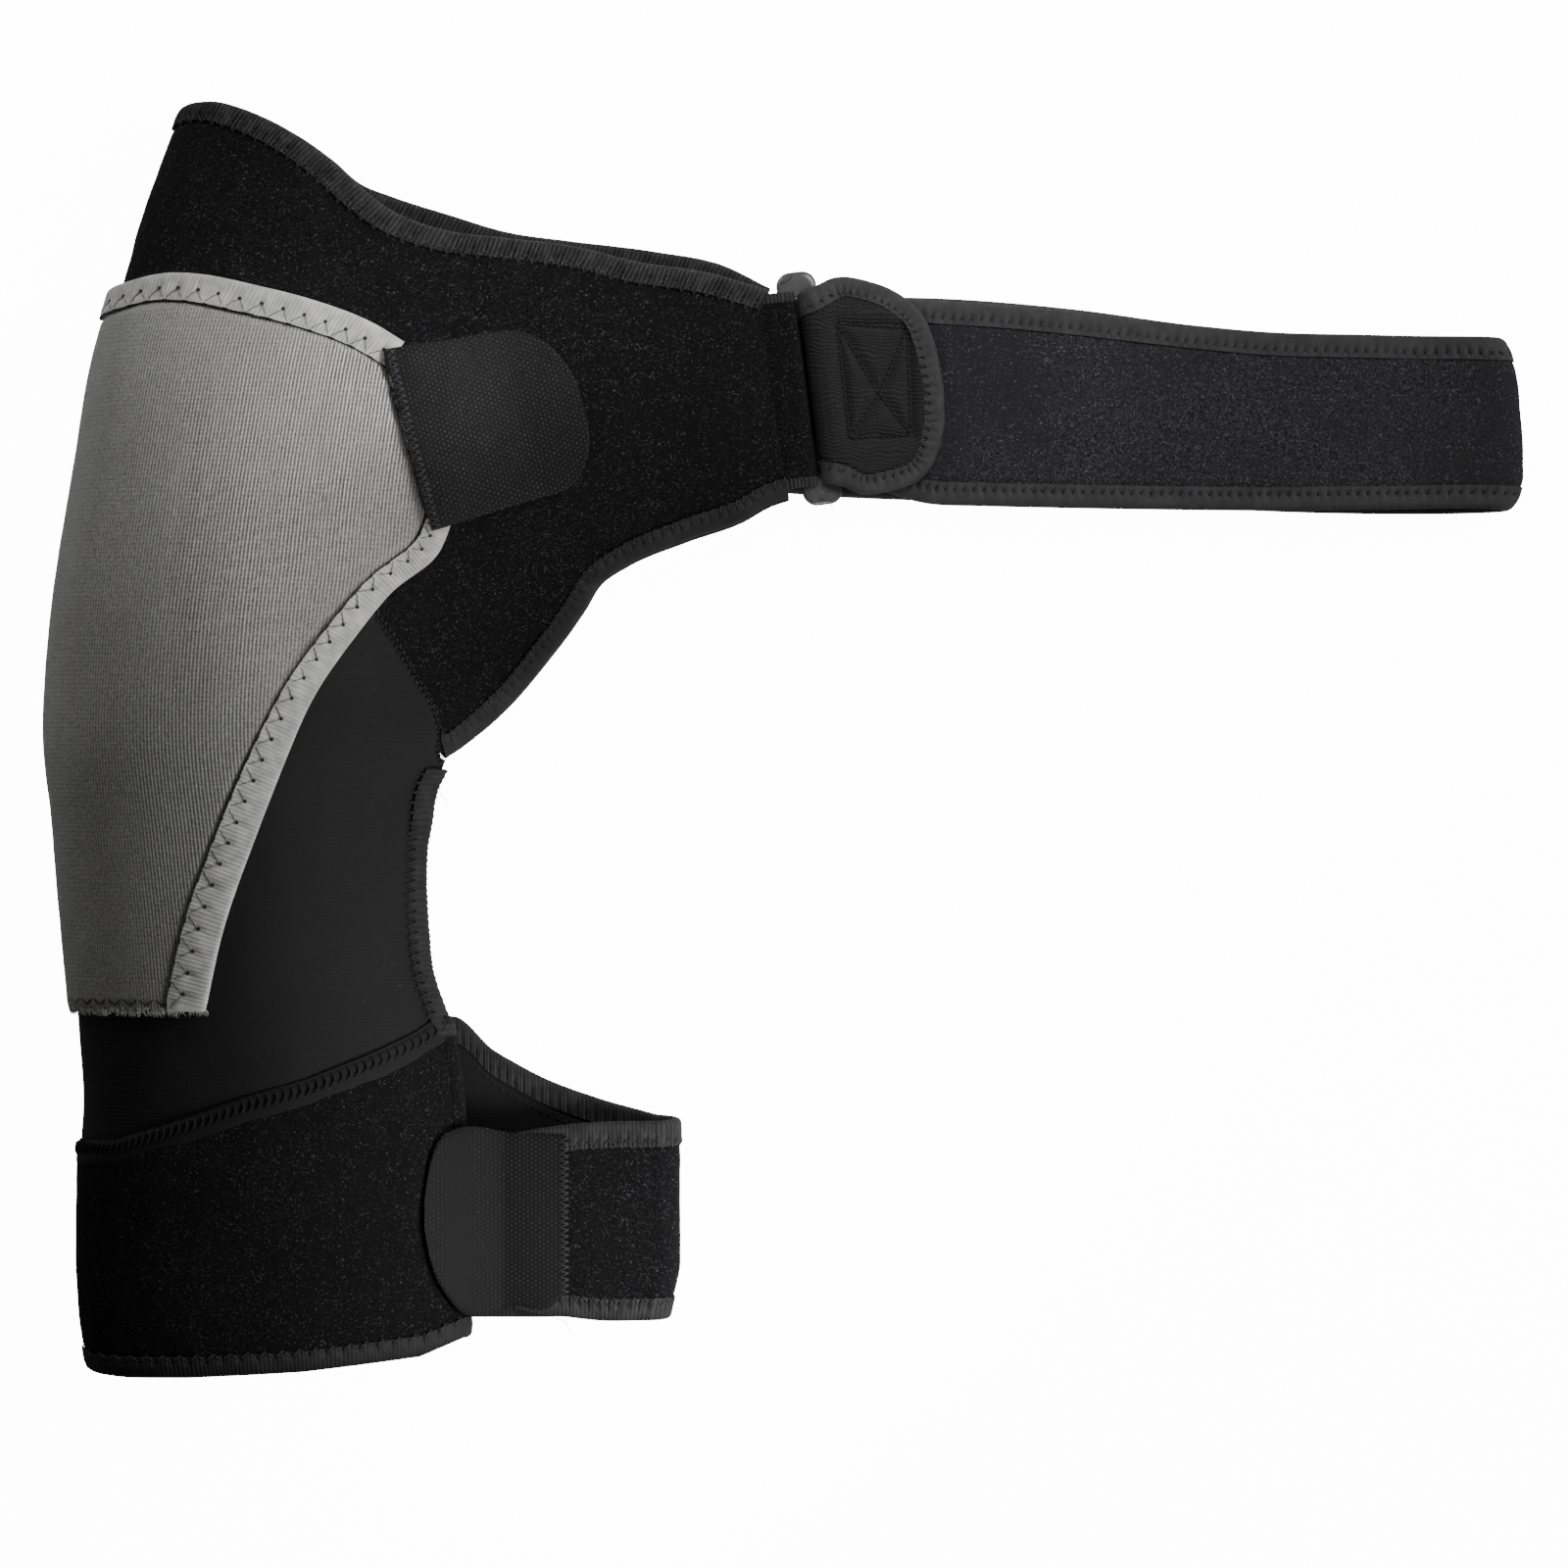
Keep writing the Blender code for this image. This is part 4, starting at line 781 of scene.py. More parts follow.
def spun_thread(name, colour, share):
    """Spun polyester thread: two plies twisted together, with a dull shine."""
    tree, shader, _, cloth = new_material(name)
    along, around, _ = add_node(tree, "SeparateXYZ", {0: cloth}).node.outputs
    twist = add_node(tree, "Math", {0: around, 1: 2600.0}, **TIMES)
    twist = add_node(tree, "Math", {0: along, 1: 5200.0, 2: twist}, **TIMES_ADD)
    ply = add_node(tree, "Math", {0: twist}, operation="SINE")
    tone = add_node(tree, "MapRange", {0: ply, 1: -1.0, 2: 1.0}, **SOFT)
    colour = add_node(tree, "Mix", {0: tone, 6: shade(colour, 0.7 * share), 7: shade(colour, share)}, **BLEND)
    finish_shader(tree, shader, colour, ply, depth_mm=0.08, roughness=0.6, sheen=0.1)


def moulded_gloss_plastic(looks):
    """Injection-moulded nylon, polished mould: black, hard and glossy, with faint handling scuffs. Its colour is dark
    grey rather than black, painting in the reflections of the bright surround.
    """
    tree, shader, spot, _ = new_material("moulded_gloss_plastic")
    scuff = add_node(tree, "TexNoise", {"Vector": spot, "Scale": 1 / 0.003, "Detail": 4.0})
    worn = add_node(tree, "MapRange", {0: scuff, 1: 0.5, 2: 0.8}, **SOFT)
    colour = add_node(tree, "Mix", {0: worn, 6: shade(looks.plastic, 1), 7: shade(looks.plastic, 1.4)}, **BLEND)
    rough = add_node(tree, "MapRange", {0: scuff, 3: 0.16, 4: 0.34})
    bump = add_node(tree, "Bump", {"Height": scuff, "Distance": 0.02 * MM, "Strength": 1.0})
    for name, socket in (("Base Color", colour), ("Roughness", rough), ("Normal", bump)):
        tree.links.new(socket, shader.inputs[name])
    shader.inputs["IOR"].default_value = 1.53


def pale_floor(looks):
    """Matt white paper on a light table, evenly white from every side. Its glow is seen and doesn't light what lies on
    it, as a table dimmed for the exposure."""
    tree, shader, spot, _ = new_material("pale_paper")
    grain = add_node(tree, "TexNoise", {"Vector": spot, "Scale": 1 / 0.002, "Detail": 3.0})
    colour = add_node(tree, "Mix", {0: grain, 6: (0.86, 0.86, 0.86, 1), 7: (0.9, 0.9, 0.9, 1)}, **BLEND)
    tree.links.new(colour, shader.inputs["Base Color"])
    shader.inputs["Roughness"].default_value = 0.9
    shader.inputs["Emission Color"].default_value = (1, 1, 1, 1)
    seen = add_node(tree, "LightPath", out="Is Camera Ray")
    glow = add_node(tree, "Math", {0: seen, 1: looks.floor_glow}, **TIMES)
    tree.links.new(glow, shader.inputs["Emission Strength"])


def make_materials(looks):
    """Every finish, each named for what it is made of or, where it carries painted light or shade, for that."""
    jersey, cover, black, grey = looks.jersey, looks.cover, looks.tape, looks.cover_tape
    brushed_loop_nylon("brushed_loop_nylon", looks, 1.0)
    # A copy of the loop cloth 4.5 times lighter for the strap: painted light, standing for the stronger light that
    # falls on the strap.
    brushed_loop_nylon("strap_loop_nylon", looks, 4.5)
    fine_jersey("flap_jersey", shade(jersey, 0.9), shade(jersey, 2.2), rib_mm=1.6, lengthways=False, relief=0.16,
                rib_tone=0.26, wave_mm=7.0)
    fine_jersey("black_jersey", shade(jersey, 0.6), shade(jersey, 1.05), rib_mm=1.6, lengthways=False, relief=0.035,
                rib_tone=0.05, lint=shade(looks.fleck, 1))
    fine_jersey("grey_jersey", shade(cover, 0.45), shade(cover, 1.5), rib_mm=1.5, lengthways=True, rough=0.43,
                relief=0.09, contrast=0.34, rib_tone=0.16, mottle_mm=0.9, wide_tone=0.1, specular=0.8)
    # The last number of each row sets how strongly the ribs' painted highlight and shade show.
    for name, colour, dark, fair, relief, tone in (
        ("black_tape", black, 0.7, 2.1, 0.12, 0.18), ("dull_tape", black, 0.6, 1.35, 0.05, 0.12),
        ("smooth_tape", black, 2.0, 3.0, 0.03, 0.05), ("grey_tape", grey, 0.75, 1.2, 0.06, 0.08),
    ):
        ribbed_tape(name, shade(colour, dark), shade(colour, fair), relief, tone)
    hook_tape(looks)
    # The near-black finish at 0.4 is the real dark thread and the painted shade of the cover's needle holes.
    for name, colour, share in (
        ("black_thread", black, 1.4), ("dark_thread", black, 0.7), ("needle_hole", black, 0.4),
        ("grey_thread", grey, 1.2), ("cover_thread", grey, 0.42),
    ):
        spun_thread(name, colour, share)
    moulded_gloss_plastic(looks)
    pale_floor(looks)


# Settings

def tint(name, description, code):
    """A colour that a user can change, with its default as an sRGB hex value."""
    return bpy.props.FloatVectorProperty(
        name=name, description=description, subtype="COLOR", default=linear(code), min=0, max=1)


def length(name, description, metres, low, high):
    """A length that a user can change."""
    return bpy.props.FloatProperty(
        name=name, description=description, unit="LENGTH", default=metres, min=low, max=high, precision=5)


def watts(name, description, power):
    """A light's power that a user can change."""
    return bpy.props.FloatProperty(
        name=name, description=description, unit="POWER", default=power, min=0, max=500, precision=3)


class BraceLooks(bpy.types.PropertyGroup):
    """Colours and surface detail of the cloth, tapes and ring."""

    pile: tint("Loop cloth", "Ground of the brushed loop cloth", "#111112")
    # The fleck colour paints the loop cloth's glints as lighter specks, a painted highlight, and is also the real lint
    # on the black jersey.
    fleck: tint("Stray fibres", "Glints on the loop cloth", "#444447")
    jersey: tint("Black jersey", "Sleeve and inner faces", "#151515")
    cover: tint("Grey jersey", "Shoulder cover", "#858581")
    tape: tint("Black tape", "Edge tapes of the black pieces", "#212121")
    cover_tape: tint("Grey tape", "Edge tapes of the cover", "#b8b8b4")
    hook: tint("Hook tape", "Fastening tabs", "#111112")
    # The ring's dark grey stands for black plastic with painted reflections of the bright surround.
    plastic: tint("Ring", "Glossy plastic of the ring", "#525252")
    fleck_size: length("Fibre glint size", "How far apart glints on the loop cloth lie", 0.00085, 0.0003, 0.004)
    floor_glow: bpy.props.FloatProperty(
        name="Floor glow", description="How strongly the white floor shines by itself", default=14.0, min=0, max=30)


class BraceStitching(bpy.types.PropertyGroup):
    """Sizes of seams and tapes."""

    cover_pitch: length("Cover zigzag", "Length of one zigzag on the cover's tapes", 0.0092, 0.003, 0.03)
    tape_pitch: length("Tape zigzag", "Length of one zigzag on the black tapes", 0.0042, 0.002, 0.03)
    thread: length("Thread", "Radius of the sewing thread", 0.0003, 0.0001, 0.001)


class BraceStage(bpy.types.PropertyGroup):
    """Camera and lights."""

    height: length("Camera height", "How far above the floor the camera hangs", 2.52, 0.5, 10)
    lens: bpy.props.FloatProperty(
        name="Lens", description="Focal length in millimetres", default=135.0, min=20, max=300)
    key: watts("Key light", "Power of the large light at the right", 5.4)
    back: watts("Back light", "Power of the light at the upper left", 2.2)
    rim: watts("Rim light", "Power of the light at the left", 0.4)
    near: watts("Near light", "Power of the small light over the chest", 0.82)
    low: watts("Low light", "Power of the small light below the arm", 0.76)
    sheen: watts("Sheen light", "Power of the gridded light that mirrors in the cover", 0.068)
    sky: bpy.props.FloatProperty(
        name="Surround", description="Strength of the even light all round", default=0.04, min=0, max=5)


# Shoulder panel and its tapes

def half_lines(sign):
    """The edges of one half of the panel on the sheet: neck, armhole, and the lower wing edge with its two insets."""
    bend, neck = (FRONT_BEND, NECK_FRONT) if sign > 0 else (BACK_BEND, NECK_BACK)
    edge = smooth_line(np.concatenate([[(0, 267.5), (sign * 14, 269.5)], unroll(neck, bend, sign)]), NECK_STATIONS)
    corner = station_of(ARMHOLE[-1:], sign)[0]
    ends = (0, corner) if sign > 0 else (3, corner)
    own = ends[0] + (ends[1] - ends[0]) * np.linspace(0, 1, HOLE_COLUMNS)
    y = ARMHOLE_SEAM(np.where(own == 3, 2.9999, own))
    hole = vectors(sheet_point(own, y, sign), y)
    low = smooth_line(unroll(WING_LOW, bend, sign), 400)
    lines = [low, inset(low, -sign * BINDING_WIDE), inset(low, -sign * (BINDING_WIDE - UNDER_TAPE))]
    start = int(np.argmax(sign * lines[2][:, 0] > sign * hole[-1, 0] + 0.8))
    fresh = [line[start:].copy() for line in lines]
    pull = np.linspace(1, 0, 60)[:, None] ** 2
    fresh[0][:60] += (low[0] - fresh[0][0]) * pull
    fresh[0][0] += (sign * 1.6, 0.6)
    fresh[1][0] = hole[-1] + (sign * 0.8, -0.2)
    return edge, hole, fresh


def make_shoulder_panel(stitching):
    """The folded loop-cloth panel: columns ruled between the neck tape and the armhole or the lower wing tape. The
    outer face dips beside each tape as a Gaussian of the distance to it, and is a little uneven all over."""
    tops, lows = [], []
    for sign in (-1, 1):
        edge, hole, fresh = half_lines(sign)
        share = np.concatenate([
            np.linspace(0, 0.36, HOLE_COLUMNS), np.linspace(0.36, 1, WING_COLUMNS + 1)[1:],
        ])
        tops.append(at_shares(inset(edge, sign * (BINDING_WIDE - UNDER_TAPE)), share))
        lows.append(np.concatenate([hole, at_shares(fresh[2], np.linspace(0, 1, WING_COLUMNS + 1)[1:])]))
    top, low = joined(tops), joined(lows)
    v = crowded(PANEL_ROWS, 0.62)[:, None, None]
    grid = top * (1 - v) + low * v
    a, b = grid[..., 0], grid[..., 1]
    span = np.linalg.norm(low - top, axis=1)
    run = run_of(top)
    from_neck, from_low = v[..., 0] * span, (1 - v[..., 0]) * span
    beat = 1 + 0.3 * np.cos(2 * np.pi * run * MM / (1.4 * stitching.tape_pitch))
    in_hole = np.abs(np.arange(len(run)) - len(run) // 2) < HOLE_COLUMNS
    low_reach, low_depth = np.where(in_hole, 1.7, 3.0), np.where(in_hole, 0.7, 1.0)
    dip = 1.0 * beat * bell(from_neck, 3.0) + low_depth * bell(from_low, low_reach)
    off = 0.35 * ripple(a, b, 55, 3) + 0.12 * ripple(a, b, 14, 4) - dip
    shell("shoulder_panel", on_sheet(a, b, off), on_sheet(a, b, -PANEL_WALL + 0.6 * dip), grid,
          ["brushed_loop_nylon", "black_jersey"])


def make_edge_tapes(stitching):
    """The tapes folded over the neck edge and the lower wing edges, with their zigzag stitches."""
    pitch = stitching.tape_pitch / MM
    radius = stitching.thread / MM
    halves = {sign: half_lines(sign) for sign in (-1, 1)}
    edge = joined([halves[sign][0] for sign in (-1, 1)])
    inner = joined([inset(halves[sign][0], sign * BINDING_WIDE) for sign in (-1, 1)])
    high, low = BINDING_PROUD + 0.25, -PANEL_WALL - BINDING_PROUD
    tape("neck_tape", on_sheet, edge, inner, high, low, "black_tape", rib=(1.9, 0.42),
         press=(1.4 * pitch, 0.74, 0.15, 1.1), seed=11)
    zigzag("neck_stitches", on_sheet, edge, inner, pitch=1.4 * pitch, near=1.1, far=0.74, off=0.55, radius=radius,
           finish="black_thread")
    for sign, side in ((1, "front"), (-1, "back")):
        lines = [at_shares(line, np.linspace(0, 1, 420)) for line in halves[sign][2][:2]]
        tape(f"{side}_wing_tape", on_sheet, *lines, high, low, "dull_tape", rib=(1.2, 0.03),
             press=(pitch, 0.74, 0.16, 0.8), seed=12 + sign)
        zigzag(f"{side}_wing_stitches", on_sheet, *lines, pitch=pitch, near=1.06, far=0.74, off=0.5, radius=radius,
               finish="black_thread")


# Sleeve and cuff

def ring_of():
    """Stations round the closed sleeve: front from the fold, round the seam, and back to the fold."""
    return np.concatenate([
        np.linspace(0, 1, TUBE_COLUMNS), 1 + np.linspace(0, 1, 9)[1:-1], np.linspace(2, 3, TUBE_COLUMNS)[:-1],
    ])


def make_tube(name, top, foot, rows, high, wall_mm, finishes, off):
    """A closed stretch of sleeve between two lines round it, with relief off its outer face."""
    f = ring_of()
    v = crowded(rows, 0.5)[:, None]
    y = top(f) * (1 - v) + foot(f) * v
    span = np.abs(foot(f) - top(f))
    around = run_of(tube_surface(f, -60.0))
    cloth = np.concatenate([vectors(around, y), vectors(around[-1] + 2.0, y[:, :1])], axis=1)
    f = np.broadcast_to(f, y.shape)
    outer = on_tube(f, y, high + off(around, y, v * span, (1 - v) * span))
    shell(name, outer, on_tube(f, y, high - wall_mm), cloth, finishes, around=True)


def make_sleeve(stitching):
    """The smooth sleeve, with soft pulls toward its seams, and the tape over the underarm seam."""
    def off(around, y, from_top, from_foot):
        seams = 0.8 * bell(from_top, 1.8) + 0.7 * bell(from_foot, 2.0)
        return 0.35 * ripple(around, y, 60, 21) + 0.1 * ripple(around, 0.5 * y, 18, 22) - seams

    make_tube("sleeve", ARMHOLE_SEAM, CUFF_SEAM, rows=86, high=0.0, wall_mm=SLEEVE_WALL, finishes=["black_jersey"],
              off=off)
    for name, top, foot, finish, spread, high in (
        ("underarm_tape", -12, -126, "dull_tape", 0.028, 0.8),
        ("cuff_edge", -121, -240, "brushed_loop_nylon", 0.012, 0.2),
    ):
        y = np.linspace(top, foot, 240)
        proud = 0.5 + (CUFF_PROUD + 0.1) * ease((-116 - y) / 6) + 0.9 * ease((y + 50) / 22)
        share = np.concatenate([
            np.linspace(1 - spread, 1, 5), np.linspace(1, 2, 12)[1:], np.linspace(2, 2 + spread, 5)[1:],
        ])
        run = np.abs(y - y[0])
        pucker = 0.2 * np.cos(2 * np.pi * run / 2.6 + 2.5 * ripple(run, 0, 30, 23)) + 0.2 * ripple(run, 0, 11, 24)
        f, yy = np.meshgrid(share, y)
        crown = np.sin(np.linspace(0, np.pi, len(share))) ** 0.5
        off = proud[:, None] + high * crown + high * pucker[:, None] * crown - 0.4 * (1 - crown)
        ribs = (run + 2.6 * 2.5 / (2 * np.pi) * ripple(run, 0, 30, 23)) * RIB / 2.6
        cloth = vectors(ribs[:, None], np.linspace(0, 14, len(share)))
        shell(name, on_tube(f, yy, off), on_tube(f, yy, off - 1.6), cloth, [finish])
    rails = [vectors(f, np.linspace(-14, -122, 520)) for f in (0.966, 0.99)]
    zigzag("underarm_stitches", on_tube, *rails, pitch=4.4, near=0.0, far=1.0, off=1.1, radius=stitching.thread / MM,
           finish="dark_thread")
    f = ring_of()
    seam = vectors(f, ARMHOLE_SEAM(f) + 1.6)[:TUBE_COLUMNS]
    rails = [at_shares(line, np.linspace(0, 1, 300)) for line in (seam, seam - (0, 3.4))]
    zigzag("armhole_stitches", on_tube, *rails, pitch=3.0, near=0.0, far=1.0, off=-0.15, radius=0.26,
           finish="black_thread", lift=0.25)


def make_cuff(stitching):
    """The loop-cloth cuff with its overlocked top seam and the tape round its mouth."""
    def off(around, y, from_top, from_foot):
        seams = 0.5 * bell(from_top, 4.0) + 0.9 * bell(from_foot, 3.0)
        return 0.3 * ripple(around, y, 48, 31) + 0.12 * ripple(around, y, 14, 32) - seams

    def foot(f):
        return CUFF_MOUTH(f) + BINDING_WIDE - UNDER_TAPE

    make_tube("cuff", CUFF_SEAM, foot, rows=50, high=CUFF_PROUD, wall_mm=CUFF_PROUD + SLEEVE_WALL,
              finishes=["brushed_loop_nylon", "black_jersey"], off=off)
    f = np.linspace(0, 3, 700)[:-1]
    edge = vectors(f, CUFF_MOUTH(f))
    inner = edge + (0, BINDING_WIDE)
    pitch = stitching.tape_pitch / MM
    tape("cuff_tape", on_tube, edge, inner, CUFF_PROUD + 0.7, -SLEEVE_WALL - 0.4, "dull_tape", True,
         rib=(1.7, 0.2), press=(1.7 * pitch, 0.82, 0.16, 0.8), seed=33)
    zigzag("cuff_stitches", on_tube, edge, inner, pitch=1.7 * pitch, near=1.08, far=0.8, off=CUFF_PROUD + 0.55,
           radius=stitching.thread / MM, finish="black_thread")

    def strip_off(around, y, from_top, from_foot):
        seams = 1.3 * bell(from_top, 1.3) + 0.6 * bell(from_foot, 0.9)
        return 0.1 * ripple(around, y, 20, 34) - seams

    make_tube("cuff_seam_strip", lambda f: CUFF_SEAM(f) + 1.6, lambda f: CUFF_SEAM(f) - 9.4, rows=16,
              high=CUFF_PROUD + 0.45, wall_mm=0.9, finishes=["black_jersey"], off=strip_off)
    f = (np.arange(OVERLOCK_STITCHES) + 0.5) * 3 / OVERLOCK_STITCHES
    t = np.linspace(0, 1, 10)
    along = f[:, None] + 0.010 * np.sin(np.pi * t) - 0.004 * t
    y = CUFF_SEAM(f)[:, None] + 1.4 - 6.4 * t
    lift = 0.2 + (CUFF_PROUD + 0.35) * ease(t * 3) + 0.3 * np.sin(np.pi * t) - 0.8 * np.abs(2 * t - 1) ** 6
    lines = on_tube(along, y, lift)
    normal = on_tube(f, y[:, 5], 1) - on_tube(f, y[:, 5], 0)
    threads("cuff_overlock", lines, normal, radius=0.52, finish="black_jersey")


# Cover

def cover_half(sign):
    """One half of the cover: its panel's grid on the sheet, then the top and side lines with their inner lines."""
    bend = FRONT_BEND if sign > 0 else BACK_BEND
    top = unroll(COVER_TOP, bend, sign)[1:]
    top = smooth_line(np.concatenate([[(0, 188.5), (sign * 30, 191)], top]), 300)
    side = smooth_line(unroll(COVER_EDGE, bend, sign), 460)
    wide = sign * np.interp(side[:, 1], (COVER_FOOT, 90), COVER_SIDE_WIDE[::-1])
    top_in, side_in = inset(top, sign * COVER_TOP_WIDE), inset(side, wide)
    apart = np.linalg.norm(top_in[:, None] - side_in[None, :], axis=2)
    j, i = np.unravel_index(np.argmin(apart), apart.shape)
    top, top_in = top[:j + 1], top_in[:j + 1]
    side, side_in = side[i:], side_in[i:]
    side[-1, 1], side_in[-1, 1] = COVER_FOOT, COVER_FOOT
    over_top, over_side = inset(top, sign * (COVER_TOP_WIDE - 1.2)), inset(side, wide[i:] - sign * 1.2)
    u = np.linspace(0, 1, COVER_COLUMNS)
    top_line = at_shares(over_top, u)
    side_line = at_shares(over_side, crowded(COVER_ROWS, 0.3))
    side_line[0] = top_line[-1] = (top_line[-1] + side_line[0]) / 2
    side_line[-1, 1] = COVER_FOOT
    v = crowded(COVER_ROWS, 0.3)[:, None, None]
    u = u[:, None]
    fold = np.array((0, top_line[0, 1])) * (1 - v) + np.array((0, COVER_FOOT)) * v
    bow = top_line - top_line[0] * (1 - u) - top_line[-1] * u
    return fold * (1 - u) + side_line[:, None] * u + bow * (1 - v), (top, top_in), (side, side_in)


def make_cover(stitching):
    """The grey pad round the fold: a smooth patch between its edges, its grey tapes, V stitches with their needle holes
    drawn as near-black domes, painted shade, the dark thread that lies along the tapes' inner edges, and a raw foot."""
    halves = {sign: cover_half(sign) for sign in (-1, 1)}
    grid = np.concatenate([halves[-1][0][:, :0:-1], halves[1][0]], axis=1)
    a, b = grid[..., 0], grid[..., 1]
    from_top = run_of(grid[:, COVER_COLUMNS])[:, None]
    from_side = np.minimum(*(np.abs(a - a[:, [k]]) for k in (0, -1)))
    from_foot = b - COVER_FOOT
    dip = bell(from_top, 2.6) + 0.9 * bell(from_side, 2.6) + 0.9 * bell(from_foot, 1.6)
    off = COVER_HIGH + 0.4 * ripple(a, b, 70, 41) + 0.1 * ripple(a, b, 20, 42) - dip
    frayed = 0.9 * ripple(a, 0, 2.4, 43) + 0.5 * ripple(a, 0, 9, 44)
    b = b + frayed * ease((4 - from_foot) / 4)
    shell("cover", on_sheet(a, b, off), on_sheet(a, b, COVER_LOW), vectors(a, b), ["grey_jersey"])
    fray_cover(halves[-1][2][0][-1, 0], halves[1][2][0][-1, 0])
    pitch = stitching.cover_pitch / MM
    radius = stitching.thread / MM
    seams = [("cover_top", *(joined([halves[sign][1][k] for sign in (-1, 1)]) for k in (0, 1)), 51)]
    seams += [(f"cover_{side}", *halves[sign][2], 52 + sign) for side, sign in (("front", 1), ("back", -1))]
    for name, edge, inner, seed in seams:
        far = 0.57 if name == "cover_top" else 0.62
        tape(f"{name}_tape", on_sheet, edge, inner, COVER_PROUD + 0.2, COVER_LOW, "grey_tape",
             rib=(1.7, 0.08), press=(pitch, far, 0.13, 1.1), seed=seed)
        holes, normals = zigzag(f"{name}_stitches", on_sheet, edge, inner, pitch=pitch, near=1.0, far=far,
                                off=COVER_PROUD + 0.05, radius=radius, finish="cover_thread", lift=0.35)
        # The near-black domes at the needle holes are painted shade: the shade in each hole, coloured onto a raised
        # knot.
        knots(f"{name}_holes", holes - 0.35 * normals, normals, radius=0.92, finish="needle_hole")
        thread_line(f"{name}_seam", on_sheet, inner, off=COVER_PROUD - 0.2, radius=0.4, pitch=pitch,
                    finish="needle_hole")


def fray_cover(first, last):
    """Loose yarn ends along the cover's raw foot: short bent threads that hang 1 to 3 mm past it, and the dark row of
    stitches that holds the foot down."""
    pick = np.random.default_rng(45)
    count = FRAYS
    at = vectors(pick.uniform(first, last, count), COVER_FOOT)
    t = np.linspace(0, 1, 4)
    reach = pick.uniform(0.8, 3.2, count)[:, None]
    lean = pick.normal(0, 0.9, count)[:, None]
    a = at[:, :1] + lean * t ** 1.5 + 0.25 * np.sin(5 * t + lean * 4)
    b = COVER_FOOT + 1.2 - (reach + 1.2) * t
    off = pick.uniform(COVER_LOW + 0.4, COVER_HIGH - 0.4, count)[:, None] - 0.9 * t ** 2
    lines = on_sheet(a, b, off)
    normal = on_sheet(*at.T, 5) - on_sheet(*at.T, 4)
    threads("cover_foot_fray", lines, normal, radius=0.19 * (1 - 0.5 * t)[None, :], finish="grey_thread")
    line = vectors(np.linspace(first + 3, last - 3, 60), COVER_FOOT + 2.2)
    zigzag("cover_foot_stitches", on_sheet, line, line + (0, 2.8), pitch=7.0, near=0.0, far=1.0,
           off=COVER_HIGH - 0.35, radius=0.3, finish="needle_hole", lift=0.2)


def on_cover_tab(along, across, off):
    """A point off the cover's hook tab, which leaves the cover and steps down on to the wing."""
    x = TAB_ROOT[0] + along * np.cos(TAB_TURN) - across * np.sin(TAB_TURN)
    y = TAB_ROOT[1] + along * np.sin(TAB_TURN) + across * np.cos(TAB_TURN)
    at = unroll(vectors(x.ravel(), y.ravel()), FRONT_BEND, 1).reshape(*x.shape, 2)
    height = COVER_PROUD + 0.9 - (COVER_PROUD + 0.3) * ease((along - 6) / 46)
    return on_sheet(at[..., 0], at[..., 1], height + off)


def make_tab(name, place, along, across, down, up, uneven, size, seed, rail, shifts, pitch):
    """A hook tab with thinner edges, and the rough row of stitches along its sewn edge. uneven, size and seed are of
    its slow waves. The stitches run between two copies of the rail, shifted along the tab."""
    edge = np.minimum(across - down[:, None], up[:, None] - across)
    off = TAB_WALL + uneven * ripple(along, across, size, seed) - 0.5 * bell(edge, 1.2)
    shell(f"{name}_hook_tab", place(along, across, off), place(along, across, 0), vectors(along, across), ["hook_tape"])
    rails = [at_shares(rail + (shift, 0), np.linspace(0, 1, 260)) for shift in shifts]
    zigzag(f"{name}_tab_stitches", place, *rails, pitch=pitch, near=0.0, far=1.0, off=TAB_WALL, radius=0.34,
           finish="black_thread")


def make_cover_tab():
    """The black hook tab sewn on the cover's corner."""
    along = 75 * (1 - (1 - np.linspace(0, 1, TAB_GRID)) ** 1.35) - 0.5
    up, down = read(COVER_TAB, 1, along), read(COVER_TAB, 2, along)
    side = np.linspace(-1, 1, TAB_GRID)
    across = (up[:, None] + down[:, None]) / 2 + (up[:, None] - down[:, None]) / 2 * side
    jag = 0.9 * ripple(across, 0, 3.2, 61) + 0.5 * ripple(across, 0, 11, 62)
    a = along[:, None] + jag * ease((7 - along[:, None]) / 7)
    make_tab("cover", on_cover_tab, a, across, down, up, uneven=0.15, size=34, seed=63, rail=vectors(0, side * 36),
             shifts=(-0.8, 3.6), pitch=2.7)


def make_hairs():
    """A few loose ends of yarn, each an arc between two points that bows aside as a sine."""
    t = np.linspace(0, 1, 12)[None, :, None]
    start, end = HAIRS[:, None, (0, 1, 2)], HAIRS[:, None, (3, 4, 2)]
    ahead = end - start
    side = unit(vectors(-ahead[..., 1], ahead[..., 0], 0))
    lines = start + ahead * t + side * HAIRS[:, None, [5]] * np.sin(np.pi * t)
    normal = np.tile((0.0, 0.0, 1.0), (len(HAIRS), 1))
    threads("loose_hairs", lines, normal, radius=0.16, finish="black_thread")


# Chest strap and ring

def right_fold(x, radius, n):
    """A half circle from a strap's back layer up to its front layer, without its ends."""
    turn = np.linspace(-np.pi / 2, np.pi / 2, n)[1:-1]
    return vectors(x + radius * np.cos(turn), STRAP_LOW + radius + radius * np.sin(turn))


def across_strap(at, low, top, share):
    """A grid over a strap between two edges, and how far each point lies from the nearer edge."""
    low, top = low[:, None], top[:, None]
    y = low * (1 - share) + top * share
    return np.broadcast_to(at[:, None], y.shape), y, np.minimum(y - low, top - y)


